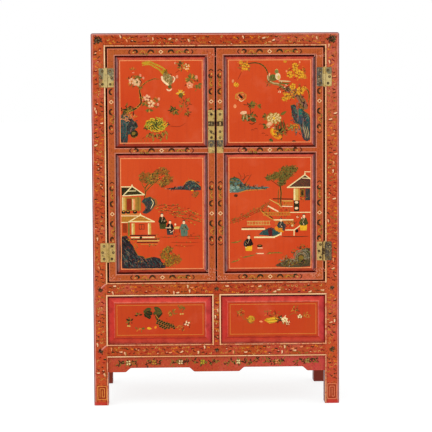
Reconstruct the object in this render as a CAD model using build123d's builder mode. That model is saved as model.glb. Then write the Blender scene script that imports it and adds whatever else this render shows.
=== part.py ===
"""Chinese wedding cabinet: a square-corner frame-and-panel carcass with two inset doors, a
hidden store under its lift-out floor boards, and brass hinges, lock plates and pulls.

Millimetres. X runs to the right, Y to the back and Z up. The origin is on the floor, at the
middle of the overall box, so the doors' front face is a little behind the box's front."""

from build123d import *
import os

os.makedirs("parts", exist_ok=True)

# ---------------------------------------------------------------- carcass
WIDTH = 994.0  # over the posts
DEPTH = 490.0  # front of the front posts to back of the back posts
HEIGHT = 1500.0
POST = 58.0  # square section of a post
EDGE_ROUND = 8.0  # the outer edges of the posts and of the top frame
EASE = 1.5  # every other visible long edge
RAIL_DEPTH = 40.0  # thickness of the carcass rails
TOP_RAIL = 54.0  # height of the top rails
MIDDLE_RAIL = 56.0
BOTTOM_RAIL = 54.0
DOOR_SILL = 499.5  # height of the door opening's lower edge
STORE_SILL = 248.5  # height of the lower panels' lower edge
MUNTIN = 36.0  # width of the upright between the two lower panels
BACK_STILE = 50.0  # width of the upright in the middle of the back
BACK_STILE_DEPTH = 30.0  # it is flush with the back of the posts
BEAD = 7.0  # bead worked along the frame's inner edges
QUIRK = 1.2  # width and depth of the little groove beside that bead

# ---------------------------------------------------------------- joints in the wood
TENON = 14.0  # thickness of a carcass tenon
TENON_SHOULDER = 8.0  # the tenon is this much lower than its rail, above and below
TENON_SPACING = 3.0  # wood left between the two tenons that meet in a post
STUB = 8.0  # length of a short tenon
UPRIGHT_TENON = 18.0  # length of the tenons on the muntin and on the back stile
UPRIGHT_SHOULDER = 11.0  # those tenons are this much narrower, on each side
FIT = 0.2  # clearance round a tenon or a tongue
GROOVE = 8.0  # depth of a panel groove
TONGUE_IN = 7.0  # how far a panel's tongue reaches into its groove

# ---------------------------------------------------------------- panels
TONGUE = 6.0  # thickness of a panel's tongue
TONGUE_SET = 9.0  # from the frame's face back to the tongue
FIELD_SET = 2.0  # from the frame's face back to the raised field
FIELD_STEP = 1.4  # the field stands this much above its bevel
FIELD_LEDGE = 2.0  # flat at the top of the bevel, round the field
REVEAL = 1.0  # gap between the frame's edge and the foot of the bevel
DOOR_BEVEL = 14.0  # from the frame's edge to the top of the bevel
FIXED_BEVEL = 27.0  # the same on the lower, side and top panels
BACK_BOARD = 8.0  # thickness of the back boards
BACK_BOARD_SET = 14.0  # from the back of the posts in to the back boards
TOP_BOARD = 12.0
TOP_BOARD_SET = 2.0  # the top board lies this much below the top frame
TOP_BATTEN = (40.0, 20.0)  # width and height of the batten under the top board
BOTTOM_BOARD = 10.0
BOTTOM_BOARD_RISE = 14.0  # from the underside of the bottom rails to the bottom board

# ---------------------------------------------------------------- inside
FLOOR_BOARD = 14.0  # thickness of the lift-out floor boards
LEDGE = 10.0  # rebate in the middle rails that carries the floor boards
STOP = 12.0  # height of the lips that the doors close against
STOP_GAP = 0.5
LIFT_GAP = 1.0  # clearance round a floor board
FLOOR_BEARER = (50.0, 40.0)  # width and height of the bearer under the floor boards
SHELF = 16.0
SHELF_HEIGHT = 963.0  # underside of the shelf
SHELF_SETBACK = 14.0  # from the back of the front posts to the shelf's front edge
SHELF_GAP = 5.0  # from the shelf's ends to the side panels
SHELF_BATTEN = (18.0, 25.0)  # thickness and height

# ---------------------------------------------------------------- aprons
APRON = 16.0  # thickness
APRON_SET = 7.0  # set back from the rails' face
APRON_LOW = 133.5  # height of the brackets' and the pendant's lower edge
APRON_HIGH = 150.5  # height of the lower edge between them
BRACKET = 71.0  # length of the bracket at each end
PENDANT = 91.5  # half the length of the pendant in the middle
APRON_SLOPE = 19.0  # run of the sloping step between the two heights
APRON_CURVE = 11.0  # radius where the slope meets the level edges
SIDE_BRACKET = 40.0

# ---------------------------------------------------------------- doors
DOOR = 24.0  # thickness of a door
DOOR_GAP = 6.5  # over a door and at its hinges
DOOR_FOOT_GAP = 5.0
MEETING_GAP = 4.0  # between the two doors
DOOR_STILE = 31.0
DOOR_TOP_RAIL = 29.5
DOOR_MIDDLE_RAIL = 23.0
DOOR_BOTTOM_RAIL = 30.0
DOOR_MIDDLE = 1019.0  # height of the middle rail's lower edge
DOOR_TENON = 8.0
DOOR_TENON_LENGTH = 20.0
DOOR_SHOULDER = 4.0

# ---------------------------------------------------------------- hinges
HINGE_HEIGHT = 76.0
HINGE_INSET = 117.0  # from a door's end to the middle of its hinge
LEAF = 30.0  # width of a leaf, from the pin's axis
LEAF_T = 1.5
LEAF_CORNER = 3.0
KNUCKLE_R = 4.5
KNUCKLE_GAP = 0.3
PIN_R = 2.0
PIN_FIT = 0.05
PIN_HEAD_R = 3.4
PIN_HEAD = 2.6

# ---------------------------------------------------------------- nails
NAIL_HEAD_R = 3.6
NAIL_DOME = 2.2
NAIL_R = 1.2
NAIL_LENGTH = 14.0
NAIL_POINT = 4.0
NAIL_FIT = 0.1
HINGE_NAIL_EDGE = 8.5  # from a leaf's outer edge in to its middle nail
HINGE_NAIL_STAGGER = 6.0  # the other two are this much nearer the pin
HINGE_NAIL_END = 12.0  # from a leaf's ends to those two

# ---------------------------------------------------------------- lock plates and pulls
LOCK_PLATE = (26.0, 173.0)  # width and height; it stands level with the middle rail's foot
LOCK_NAIL_RISES = (155.5, 86.0, 62.0)  # from the plate's lower end
STAPLE_RISE = 118.0  # from the plate's lower end to the padlock's eye
STAPLE_HOLE_R = 4.5
STAPLE_R = 8.0
STAPLE_WIDTH = 6.0
STAPLE_REACH = 11.0  # from the plate's face to the eye's centre
STAPLE_SHANK = 9.0  # height of the shank
PULL_RISE = 43.0  # from the plate's lower end to the pull's eye
PULL_HOLE_R = 2.4
PULL_EYE_R = 4.0
PULL_EYE_WIDTH = 3.0
PULL_REACH = 5.6
PULL_SHANK = 4.0
SHANK_FIT = 0.2
CLENCH = 2.0  # thickness of the shank's ends, bent over on the inside
CLENCH_HALF = 14.0  # length of each bent end
RING_R = 9.0  # centreline of the pull ring
RING_WIRE_R = 1.2
RING_GAP = 0.45  # between the hanging ring and its eye

# ---------------------------------------------------------------- worked out from the above
HALF = WIDTH / 2
PROJECTION = LEAF_T + STAPLE_REACH + STAPLE_R  # how far the padlock eyes stand out
FRONT = (PROJECTION - DEPTH) / 2  # the front face of the posts, rails and doors
BACK = FRONT + DEPTH
INNER = HALF - POST  # the posts' inner faces
TENON_LENGTH = POST - RAIL_DEPTH / 2 - TENON / 2 - TENON_SPACING
TOP_LEVEL = (HEIGHT - TOP_RAIL, HEIGHT)
MIDDLE_LEVEL = (DOOR_SILL - MIDDLE_RAIL, DOOR_SILL)
BOTTOM_LEVEL = (STORE_SILL - BOTTOM_RAIL, STORE_SILL)
LEVELS = (TOP_LEVEL, MIDDLE_LEVEL, BOTTOM_LEVEL)
FLOOR_TOP = DOOR_SILL + STOP
FLOOR_UNDER = FLOOR_TOP - FLOOR_BOARD
FRONT_RAIL_Y = (FRONT, FRONT + RAIL_DEPTH)
BACK_RAIL_Y = (BACK - RAIL_DEPTH, BACK)
SIDE_RAIL_X = (-HALF, RAIL_DEPTH - HALF)  # the left side's rails
SIDE_SPAN = (FRONT + POST, BACK - POST)  # between the posts, front to back
DOOR_LOW = DOOR_SILL + DOOR_FOOT_GAP
DOOR_HIGH = TOP_LEVEL[0] - DOOR_GAP
DOOR_OUTER = DOOR_GAP - INNER  # the left door's hinge edge
DOOR_MEETING = -MEETING_GAP / 2
PIN_X = -INNER + DOOR_GAP / 2
PIN_Y = FRONT - KNUCKLE_R
HINGE_HEIGHTS = (DOOR_LOW + HINGE_INSET, DOOR_HIGH - HINGE_INSET)
LOCK_X = DOOR_MEETING - DOOR_STILE / 2
PLATE_FACE = FRONT - LEAF_T
PLATE_LOW = DOOR_MIDDLE
STAPLE_HEIGHT = PLATE_LOW + STAPLE_RISE
PULL_HEIGHT = PLATE_LOW + PULL_RISE
LOCK_NAILS = [PLATE_LOW + rise for rise in LOCK_NAIL_RISES]
HINGE_NAILS = (
    (LEAF - HINGE_NAIL_EDGE - HINGE_NAIL_STAGGER, HINGE_HEIGHT / 2 - HINGE_NAIL_END),
    (LEAF - HINGE_NAIL_EDGE, 0),
    (LEAF - HINGE_NAIL_EDGE - HINGE_NAIL_STAGGER, HINGE_NAIL_END - HINGE_HEIGHT / 2),
)  # across from the pin, and up from the hinge's middle
RING_AXIS_Z = PULL_HEIGHT - PULL_HOLE_R + RING_WIRE_R + RING_GAP


# ---------------------------------------------------------------- helpers
def save(part, name):
    part.label = name
    export_step(part, f"parts/{name}.step")


def slab(x, y, z, mode=Mode.ADD):
    """A box in the current builder, between the two ends of each of x, y and z."""
    with Locations((sum(x) / 2, sum(y) / 2, sum(z) / 2)):
        Box(abs(x[1] - x[0]), abs(y[1] - y[0]), abs(z[1] - z[0]), mode=mode)


def grown(span, by):
    """A span with both of its ends moved out."""
    low, high = sorted(span)
    return low - by, high + by


def middle(low, thickness, depth):
    """The span of something centred in a board that starts at low."""
    centre = low + depth / 2
    return centre - thickness / 2, centre + thickness / 2


def other_side(part):
    """The same piece on the cabinet's right."""
    with BuildPart() as twin:
        mirror(part, about=Plane.YZ)
    return twin.part


def pair(part):
    """A left piece and its twin on the right, as two solids."""
    with BuildPart() as both:
        add(part)
        mirror(part, about=Plane.YZ)
    return both.part


def bored(x, z, radius, depth):
    """A hole in the current builder from the front face of the doors and posts."""
    with Locations(Plane(origin=(x, FRONT, z), x_dir=(1, 0, 0), z_dir=(0, -1, 0))):
        Hole(radius, depth)


FRONT_TENON_Y = middle(FRONT, TENON, RAIL_DEPTH)
BACK_TENON_Y = middle(BACK - RAIL_DEPTH, TENON, RAIL_DEPTH)
SIDE_TENON_X = middle(-HALF, TENON, RAIL_DEPTH)
HINGE_NAIL_SPOTS = [
    (across, height + up) for height in HINGE_HEIGHTS for across, up in HINGE_NAILS
]


def tenon_height(level):
    return grown(level, -TENON_SHOULDER)


# ---------------------------------------------------------------- posts
def post(front):
    """The left post at the front or at the back, with its mortises and grooves."""
    inward = 1 if front else -1  # from the post's outer face towards the cabinet's middle
    outer_y = FRONT if front else BACK
    inner_y = outer_y + inward * POST
    tenon_y = FRONT_TENON_Y if front else BACK_TENON_Y
    with BuildPart() as upright:
        with BuildSketch():
            with Locations((POST / 2 - HALF, (outer_y + inner_y) / 2)):
                Rectangle(POST, POST)
        extrude(amount=HEIGHT)
        outer = upright.edges().filter_by(
            lambda e: abs(e.center().X + HALF) < FIT
            and (abs(e.center().Y - outer_y) < FIT or abs(e.center().Z - HEIGHT) < FIT)
            or (abs(e.center().Y - outer_y) < FIT and abs(e.center().Z - HEIGHT) < FIT)
        )
        fillet(outer, EDGE_ROUND)
        inner = upright.edges().filter_by(Axis.Z).filter_by(
            lambda e: abs(e.center().X + INNER) < FIT and abs(e.center().Y - outer_y) < FIT
        )
        fillet(inner, EASE)
        for level in LEVELS:
            height = grown(tenon_height(level), FIT)
            slab((-INNER - TENON_LENGTH - FIT, -INNER), grown(tenon_y, FIT), height, Mode.SUBTRACT)
            end = inner_y - inward * (TENON_LENGTH + FIT)
            slab(grown(SIDE_TENON_X, FIT), (end, inner_y), height, Mode.SUBTRACT)
        panels = (BOTTOM_LEVEL[1] - GROOVE, TOP_LEVEL[0] + GROOVE)
        side_tongue = (TONGUE_SET - HALF, TONGUE_SET + TONGUE - HALF)
        groove_end = inner_y - inward * GROOVE
        slab(grown(side_tongue, FIT), (groove_end, inner_y), panels, Mode.SUBTRACT)
        batten_end = inner_y - inward * (STUB + FIT)
        slab(*shelf_batten_section(FIT, (batten_end, inner_y)), Mode.SUBTRACT)
        apron_x = (APRON_SET - HALF, APRON_SET + APRON - HALF)
        apron_z = (APRON_HIGH + TENON_SHOULDER, BOTTOM_LEVEL[0] - TENON_SHOULDER)
        slab(grown(apron_x, FIT), (batten_end, inner_y), grown(apron_z, FIT), Mode.SUBTRACT)
        if front:
            stub_x = (-INNER - STUB - FIT, -INNER)
            apron_y = (FRONT + APRON_SET, FRONT + APRON_SET + APRON)
            slab(stub_x, grown(apron_y, FIT), grown(apron_z, FIT), Mode.SUBTRACT)
            low_panel = (BOTTOM_LEVEL[1] - GROOVE, MIDDLE_LEVEL[0] + GROOVE)
            tongue_y = (FRONT + TONGUE_SET, FRONT + TONGUE_SET + TONGUE)
            groove_x = (-INNER - GROOVE, -INNER)
            slab(groove_x, grown(tongue_y, FIT), low_panel, Mode.SUBTRACT)
            quirk_x = (-INNER - BEAD - QUIRK, -INNER - BEAD)
            for run in BEAD_RUNS:
                slab(quirk_x, (FRONT, FRONT + QUIRK), run, Mode.SUBTRACT)
            for across, z in HINGE_NAIL_SPOTS:
                bored(PIN_X - across, z, NAIL_R + NAIL_FIT, NAIL_LENGTH)
        else:
            board_y = (BACK - BACK_BOARD_SET - BACK_BOARD, BACK - BACK_BOARD_SET)
            groove_x = (-INNER - GROOVE, -INNER)
            slab(groove_x, grown(board_y, FIT), panels, Mode.SUBTRACT)
    return upright.part


def shelf_batten_section(clearance, y):
    """The spans of the left shelf batten, or of a mortise for it."""
    thickness, tall = SHELF_BATTEN
    x = (RAIL_DEPTH - HALF - thickness, RAIL_DEPTH - HALF)
    return grown(x, clearance), y, grown((SHELF_HEIGHT - tall, SHELF_HEIGHT), clearance)


# The post's bead runs past each opening by one bead's width, where it meets the rails' beads.
BEAD_RUNS = (
    (DOOR_SILL - BEAD, TOP_LEVEL[0] + BEAD),
    (STORE_SILL - BEAD, MIDDLE_LEVEL[0] + BEAD),
    (0, BOTTOM_LEVEL[0] + BEAD),
)
front_post, back_post = post(True), post(False)
save(front_post, "post_front_left")
save(other_side(front_post), "post_front_right")
save(back_post, "post_back_left")
save(other_side(back_post), "post_back_right")


# ---------------------------------------------------------------- rails across the front and back
def cross_rail(y, level, tenon_y, tenon_level=None, stop=0.0, beads=(), top_round=False):
    """A rail between the posts. stop is how far its door lip stands past the rail, down at the
    top and up at the middle. beads are the levels of its quirks' lower edges."""
    tenon_z = tenon_height(tenon_level or level)
    with BuildPart() as rail:
        slab((-INNER, INNER), y, level)
        if top_round:
            outer_y = FRONT if y == FRONT_RAIL_Y else BACK
            fillet(
                rail.edges().filter_by(Axis.X).filter_by(
                    lambda e: abs(e.center().Y - outer_y) < FIT and abs(e.center().Z - level[1]) < FIT
                ),
                EDGE_ROUND,
            )
        if stop < 0:
            slab((-INNER, INNER), (FRONT + DOOR + STOP_GAP, y[1]), (level[0] + stop, level[0]))
        if stop > 0:
            slab((-INNER, INNER), (y[0] + DOOR + STOP_GAP, y[1]), (level[1], level[1] + stop))
        for low in beads:
            slab((-INNER, INNER), (FRONT, FRONT + QUIRK), (low, low + QUIRK), Mode.SUBTRACT)
        slab((-INNER - TENON_LENGTH, -INNER), tenon_y, tenon_z)
        slab((INNER, INNER + TENON_LENGTH), tenon_y, tenon_z)
    return rail.part


def cut(part, *boxes):
    """The piece with boxes taken out of it, each given as its x, y and z spans."""
    with BuildPart() as piece:
        add(part)
        for box in boxes:
            slab(*box, Mode.SUBTRACT)
    return piece.part


ACROSS = (-INNER, INNER)
top_board_z = (HEIGHT - TOP_BOARD_SET - TOP_BOARD, HEIGHT - TOP_BOARD_SET)
top_groove_z = grown((top_board_z[0], top_board_z[0] + TONGUE), FIT)
bottom_board_z = (BOTTOM_LEVEL[0] + BOTTOM_BOARD_RISE, BOTTOM_LEVEL[0] + BOTTOM_BOARD_RISE + BOTTOM_BOARD)
bottom_groove_z = grown(bottom_board_z, FIT)
tongue_y = (FRONT + TONGUE_SET, FRONT + TONGUE_SET + TONGUE)
back_board_y = (BACK - BACK_BOARD_SET - BACK_BOARD, BACK - BACK_BOARD_SET)
front_groove_y = (FRONT + RAIL_DEPTH - GROOVE, FRONT + RAIL_DEPTH)
back_groove_y = (BACK - RAIL_DEPTH, BACK - RAIL_DEPTH + GROOVE)
muntin_tenon_x = (UPRIGHT_SHOULDER - MUNTIN / 2, MUNTIN / 2 - UPRIGHT_SHOULDER)
stile_tenon_x = (UPRIGHT_SHOULDER - BACK_STILE / 2, BACK_STILE / 2 - UPRIGHT_SHOULDER)
stile_y = (BACK - BACK_STILE_DEPTH, BACK)
batten_width, batten_height = TOP_BATTEN
batten_x = (-batten_width / 2, batten_width / 2)
batten_z = (top_board_z[0] - batten_height, top_board_z[0])
bearer_width, bearer_height = FLOOR_BEARER
bearer_x = (-bearer_width / 2, bearer_width / 2)
bearer_z = (FLOOR_UNDER - bearer_height, FLOOR_UNDER)
front_stub_y = (FRONT + RAIL_DEPTH - STUB - FIT, FRONT + RAIL_DEPTH)
back_stub_y = (BACK - RAIL_DEPTH, BACK - RAIL_DEPTH + STUB + FIT)
batten_mortise = (grown(batten_x, FIT), grown(batten_z, FIT))
bearer_mortise = (grown(bearer_x, FIT), grown(bearer_z, FIT))


def tenon_slot(x, y, face, length):
    """A mortise for an upright's tenon, into the rail from the level of its face."""
    return grown(x, FIT), grown(y, FIT), sorted((face, face + length))


top_front = cross_rail(
    FRONT_RAIL_Y, TOP_LEVEL, FRONT_TENON_Y, stop=-STOP, beads=(TOP_LEVEL[0] + BEAD,), top_round=True
)
top_front = cut(
    top_front,
    (ACROSS, front_groove_y, top_groove_z),
    (batten_mortise[0], front_stub_y, batten_mortise[1]),
)
save(top_front, "top_rail_front")

top_back = cross_rail(BACK_RAIL_Y, TOP_LEVEL, BACK_TENON_Y, top_round=True)
top_back = cut(
    top_back,
    (ACROSS, back_groove_y, top_groove_z),
    (batten_mortise[0], back_stub_y, batten_mortise[1]),
    (ACROSS, grown(back_board_y, FIT), (TOP_LEVEL[0], TOP_LEVEL[0] + GROOVE)),
    tenon_slot(stile_tenon_x, BACK_TENON_Y, TOP_LEVEL[0], UPRIGHT_TENON + FIT),
)
save(top_back, "top_rail_back")

middle_front = cross_rail(
    FRONT_RAIL_Y,
    MIDDLE_LEVEL,
    FRONT_TENON_Y,
    stop=STOP,
    beads=(MIDDLE_LEVEL[0] + BEAD, DOOR_SILL - BEAD - QUIRK),
)
middle_front = cut(
    middle_front,
    (ACROSS, (FRONT + RAIL_DEPTH - LEDGE, FRONT + RAIL_DEPTH), (FLOOR_UNDER, FLOOR_TOP)),
    (bearer_mortise[0], front_stub_y, bearer_mortise[1]),
    (ACROSS, grown(tongue_y, FIT), (MIDDLE_LEVEL[0], MIDDLE_LEVEL[0] + GROOVE)),
    tenon_slot(muntin_tenon_x, FRONT_TENON_Y, MIDDLE_LEVEL[0], UPRIGHT_TENON + FIT),
)
save(middle_front, "middle_rail_front")

middle_back = cross_rail(BACK_RAIL_Y, (MIDDLE_LEVEL[0], FLOOR_TOP), BACK_TENON_Y, MIDDLE_LEVEL)
middle_back = cut(
    middle_back,
    (ACROSS, (BACK - RAIL_DEPTH, BACK - RAIL_DEPTH + LEDGE), (FLOOR_UNDER, FLOOR_TOP)),
    (bearer_mortise[0], back_stub_y, bearer_mortise[1]),
    (ACROSS, grown(back_board_y, FIT), (MIDDLE_LEVEL[0], MIDDLE_LEVEL[0] + GROOVE)),
    (ACROSS, grown(back_board_y, FIT), (FLOOR_TOP - GROOVE, FLOOR_TOP)),
    tenon_slot(stile_tenon_x, BACK_TENON_Y, FLOOR_TOP, -UPRIGHT_TENON - FIT),
)
save(middle_back, "middle_rail_back")

bottom_front = cross_rail(
    FRONT_RAIL_Y,
    BOTTOM_LEVEL,
    FRONT_TENON_Y,
    beads=(BOTTOM_LEVEL[0] + BEAD, STORE_SILL - BEAD - QUIRK),
)
bottom_front = cut(
    bottom_front,
    (ACROSS, front_groove_y, bottom_groove_z),
    (ACROSS, grown(tongue_y, FIT), (STORE_SILL - GROOVE, STORE_SILL)),
    tenon_slot(muntin_tenon_x, FRONT_TENON_Y, STORE_SILL, -UPRIGHT_TENON - FIT),
)
save(bottom_front, "bottom_rail_front")

bottom_back = cross_rail(BACK_RAIL_Y, BOTTOM_LEVEL, BACK_TENON_Y)
bottom_back = cut(
    bottom_back,
    (ACROSS, back_groove_y, bottom_groove_z),
    (ACROSS, grown(back_board_y, FIT), (STORE_SILL - GROOVE, STORE_SILL)),
)
save(bottom_back, "bottom_rail_back")


# ---------------------------------------------------------------- rails down the sides
def side_rail(level, tenon_level, top_round=False):
    """The left rail between the front and back posts."""
    with BuildPart() as rail:
        slab(SIDE_RAIL_X, SIDE_SPAN, level)
        if top_round:
            fillet(
                rail.edges().filter_by(Axis.Y).filter_by(
                    lambda e: abs(e.center().X + HALF) < FIT and abs(e.center().Z - level[1]) < FIT
                ),
                EDGE_ROUND,
            )
        slab(SIDE_TENON_X, grown(SIDE_SPAN, TENON_LENGTH), tenon_height(tenon_level))
    return rail.part


side_tongue_x = grown((TONGUE_SET - HALF, TONGUE_SET + TONGUE - HALF), FIT)
side_groove_x = (RAIL_DEPTH - HALF - GROOVE, RAIL_DEPTH - HALF)
side_top = cut(
    side_rail(TOP_LEVEL, TOP_LEVEL, top_round=True),
    (side_groove_x, SIDE_SPAN, top_groove_z),
    (side_tongue_x, SIDE_SPAN, (TOP_LEVEL[0], TOP_LEVEL[0] + GROOVE)),
)
save(pair(side_top), "top_rails_side")
side_middle = cut(
    side_rail((MIDDLE_LEVEL[0], FLOOR_TOP), MIDDLE_LEVEL),
    ((RAIL_DEPTH - HALF - LEDGE, RAIL_DEPTH - HALF), SIDE_SPAN, (FLOOR_UNDER, FLOOR_TOP)),
    (side_tongue_x, SIDE_SPAN, (MIDDLE_LEVEL[0], MIDDLE_LEVEL[0] + GROOVE)),
    (side_tongue_x, SIDE_SPAN, (FLOOR_TOP - GROOVE, FLOOR_TOP)),
)
save(pair(side_middle), "middle_rails_side")
side_bottom = cut(
    side_rail(BOTTOM_LEVEL, BOTTOM_LEVEL),
    (side_groove_x, SIDE_SPAN, bottom_groove_z),
    (side_tongue_x, SIDE_SPAN, (STORE_SILL - GROOVE, STORE_SILL)),
)
save(pair(side_bottom), "bottom_rails_side")


# ---------------------------------------------------------------- uprights between rails
with BuildPart() as muntin:
    slab((-MUNTIN / 2, MUNTIN / 2), FRONT_RAIL_Y, (STORE_SILL, MIDDLE_LEVEL[0]))
    for side in (-1, 1):
        edge = side * MUNTIN / 2
        slab((edge - side * GROOVE, edge), grown(tongue_y, FIT), (STORE_SILL, MIDDLE_LEVEL[0]), Mode.SUBTRACT)
        quirk = (edge - side * BEAD, edge - side * (BEAD + QUIRK))
        slab(quirk, (FRONT, FRONT + QUIRK), (STORE_SILL, MIDDLE_LEVEL[0]), Mode.SUBTRACT)
    slab(muntin_tenon_x, FRONT_TENON_Y, grown((STORE_SILL, MIDDLE_LEVEL[0]), UPRIGHT_TENON))
save(muntin.part, "muntin_front")

with BuildPart() as back_stile:
    slab((-BACK_STILE / 2, BACK_STILE / 2), stile_y, (FLOOR_TOP, TOP_LEVEL[0]))
    for side in (-1, 1):
        edge = side * BACK_STILE / 2
        slab((edge - side * GROOVE, edge), grown(back_board_y, FIT), (FLOOR_TOP, TOP_LEVEL[0]), Mode.SUBTRACT)
    slab(stile_tenon_x, BACK_TENON_Y, grown((FLOOR_TOP, TOP_LEVEL[0]), UPRIGHT_TENON))
save(back_stile.part, "stile_back")


# ---------------------------------------------------------------- panels
def raised_panel(face, wide, tall, bevel):
    """A board that floats in the grooves round an opening. face is the frame's outer plane at
    the middle of the opening, and its normal points out of the cabinet."""
    with BuildPart() as board:
        with BuildSketch(face.offset(-TONGUE_SET - TONGUE)):
            Rectangle(wide + 2 * TONGUE_IN, tall + 2 * TONGUE_IN)
        extrude(amount=TONGUE)
        with BuildSketch(face.offset(-TONGUE_SET)):
            Rectangle(wide - 2 * REVEAL, tall - 2 * REVEAL)
        with BuildSketch(face.offset(-FIELD_SET - FIELD_STEP)):
            Rectangle(wide - 2 * bevel, tall - 2 * bevel)
        loft()
        with BuildSketch(face.offset(-FIELD_SET - FIELD_STEP)):
            Rectangle(wide - 2 * (bevel + FIELD_LEDGE), tall - 2 * (bevel + FIELD_LEDGE))
        extrude(amount=FIELD_STEP)
    return board.part


def front_face(x, z):
    return Plane(origin=(sum(x) / 2, FRONT, sum(z) / 2), x_dir=(1, 0, 0), z_dir=(0, -1, 0))


def side_face(z):
    return Plane(origin=(-HALF, sum(SIDE_SPAN) / 2, sum(z) / 2), x_dir=(0, -1, 0), z_dir=(-1, 0, 0))


lower_x = (-INNER, -MUNTIN / 2)
lower_z = (STORE_SILL, MIDDLE_LEVEL[0])
upper_z = (FLOOR_TOP, TOP_LEVEL[0])
lower_panel = raised_panel(
    front_face(lower_x, lower_z), lower_x[1] - lower_x[0], lower_z[1] - lower_z[0], FIXED_BEVEL
)
save(lower_panel, "lower_panel_left")
save(other_side(lower_panel), "lower_panel_right")
for name, z in (("upper", upper_z), ("lower", lower_z)):
    panel = raised_panel(side_face(z), SIDE_SPAN[1] - SIDE_SPAN[0], z[1] - z[0], FIXED_BEVEL)
    save(panel, f"side_panel_{name}_left")
    save(other_side(panel), f"side_panel_{name}_right")

with BuildPart() as back_board:
    slab(grown((-INNER, -BACK_STILE / 2), TONGUE_IN), back_board_y, grown(upper_z, TONGUE_IN))
save(pair(back_board.part), "back_boards_upper")
with BuildPart() as back_low:
    slab(grown(ACROSS, TONGUE_IN), back_board_y, grown(lower_z, TONGUE_IN))
save(back_low.part, "back_board_lower")


# ---------------------------------------------------------------- boards that lie flat
WITHIN_RAILS = ((RAIL_DEPTH - HALF, HALF - RAIL_DEPTH), (FRONT + RAIL_DEPTH, BACK - RAIL_DEPTH))


def notch_posts(height, clearance, backs_only=False):
    """Cuts a flat board in the current builder clear of the posts."""
    for side in (-1, 1):
        x = (side * (INNER - clearance), side * HALF)
        slab(x, (BACK - POST - clearance, BACK), height, Mode.SUBTRACT)
        if not backs_only:
            slab(x, (FRONT, FRONT + POST + clearance), height, Mode.SUBTRACT)


with BuildPart() as top_board:
    tongue_z = (top_board_z[0], top_board_z[0] + TONGUE)
    slab(grown(WITHIN_RAILS[0], TONGUE_IN), grown(WITHIN_RAILS[1], TONGUE_IN), tongue_z)
    slab(grown(WITHIN_RAILS[0], -REVEAL), grown(WITHIN_RAILS[1], -REVEAL), top_board_z)
    notch_posts(top_board_z, FIT)
save(top_board.part, "top_board")

with BuildPart() as batten:
    slab(batten_x, grown(WITHIN_RAILS[1], STUB), batten_z)
save(batten.part, "top_batten")

with BuildPart() as bottom_board:
    slab(grown(WITHIN_RAILS[0], TONGUE_IN), grown(WITHIN_RAILS[1], TONGUE_IN), bottom_board_z)
    notch_posts(bottom_board_z, FIT)
save(bottom_board.part, "bottom_board")

with BuildPart() as bearer:
    slab(bearer_x, grown(WITHIN_RAILS[1], STUB), bearer_z)
save(bearer.part, "floor_bearer")

with BuildPart() as floor_board:
    floor_x = (RAIL_DEPTH - HALF - LEDGE + LIFT_GAP, -LIFT_GAP / 2)
    slab(floor_x, grown(WITHIN_RAILS[1], LEDGE - LIFT_GAP), (FLOOR_UNDER, FLOOR_TOP))
    notch_posts((FLOOR_UNDER, FLOOR_TOP), LIFT_GAP)
save(floor_board.part, "floor_board_left")
save(other_side(floor_board.part), "floor_board_right")

with BuildPart() as shelf:
    shelf_x = (TONGUE_SET + TONGUE + SHELF_GAP - HALF, HALF - TONGUE_SET - TONGUE - SHELF_GAP)
    shelf_y = (SIDE_SPAN[0] + SHELF_SETBACK, stile_y[0] - FIT)
    shelf_z = (SHELF_HEIGHT, SHELF_HEIGHT + SHELF)
    slab(shelf_x, shelf_y, shelf_z)
    fillet(shelf.edges().filter_by(Axis.X).group_by(Axis.Y)[0], EASE)
    notch_posts(shelf_z, FIT, backs_only=True)
save(shelf.part, "shelf")

with BuildPart() as shelf_batten:
    slab(*shelf_batten_section(0, grown(SIDE_SPAN, STUB)))
save(pair(shelf_batten.part), "shelf_battens")

# ---------------------------------------------------------------- aprons
with BuildPart() as apron:
    with BuildSketch(Plane.XZ.offset(-FRONT - APRON_SET - APRON)) as outline:
        with BuildLine():
            Polyline(
                (0, BOTTOM_LEVEL[0]),
                (INNER, BOTTOM_LEVEL[0]),
                (INNER, APRON_LOW),
                (INNER - BRACKET, APRON_LOW),
                (INNER - BRACKET - APRON_SLOPE, APRON_HIGH),
                (PENDANT + APRON_SLOPE, APRON_HIGH),
                (PENDANT, APRON_LOW),
                (0, APRON_LOW),
                close=True,
            )
        make_face()
        steps = outline.vertices().filter_by(lambda v: EASE < v.X < INNER - EASE)
        fillet(steps, APRON_CURVE)
        mirror(about=Plane.YZ)
    extrude(amount=APRON)
    stub_z = (APRON_HIGH + TENON_SHOULDER, BOTTOM_LEVEL[0] - TENON_SHOULDER)
    slab(grown(ACROSS, STUB), (FRONT + APRON_SET, FRONT + APRON_SET + APRON), stub_z)
save(apron.part, "apron_front")

with BuildPart() as side_apron:
    side_half = (SIDE_SPAN[1] - SIDE_SPAN[0]) / 2
    apron_face = Plane(
        origin=(APRON_SET - HALF, sum(SIDE_SPAN) / 2, 0), x_dir=(0, -1, 0), z_dir=(-1, 0, 0)
    )
    with BuildSketch(apron_face) as outline:
        with BuildLine():
            Polyline(
                (0, BOTTOM_LEVEL[0]),
                (side_half, BOTTOM_LEVEL[0]),
                (side_half, APRON_LOW),
                (side_half - SIDE_BRACKET, APRON_LOW),
                (side_half - SIDE_BRACKET - APRON_SLOPE, APRON_HIGH),
                (0, APRON_HIGH),
                close=True,
            )
        make_face()
        steps = outline.vertices().filter_by(
            lambda v: EASE < v.X < side_half - EASE and v.Y < APRON_HIGH + EASE
        )
        fillet(steps, APRON_CURVE)
        mirror(about=Plane.YZ)
    extrude(amount=-APRON)
    slab((APRON_SET - HALF, APRON_SET + APRON - HALF), grown(SIDE_SPAN, STUB), stub_z)
save(pair(side_apron.part), "aprons_side")


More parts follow.
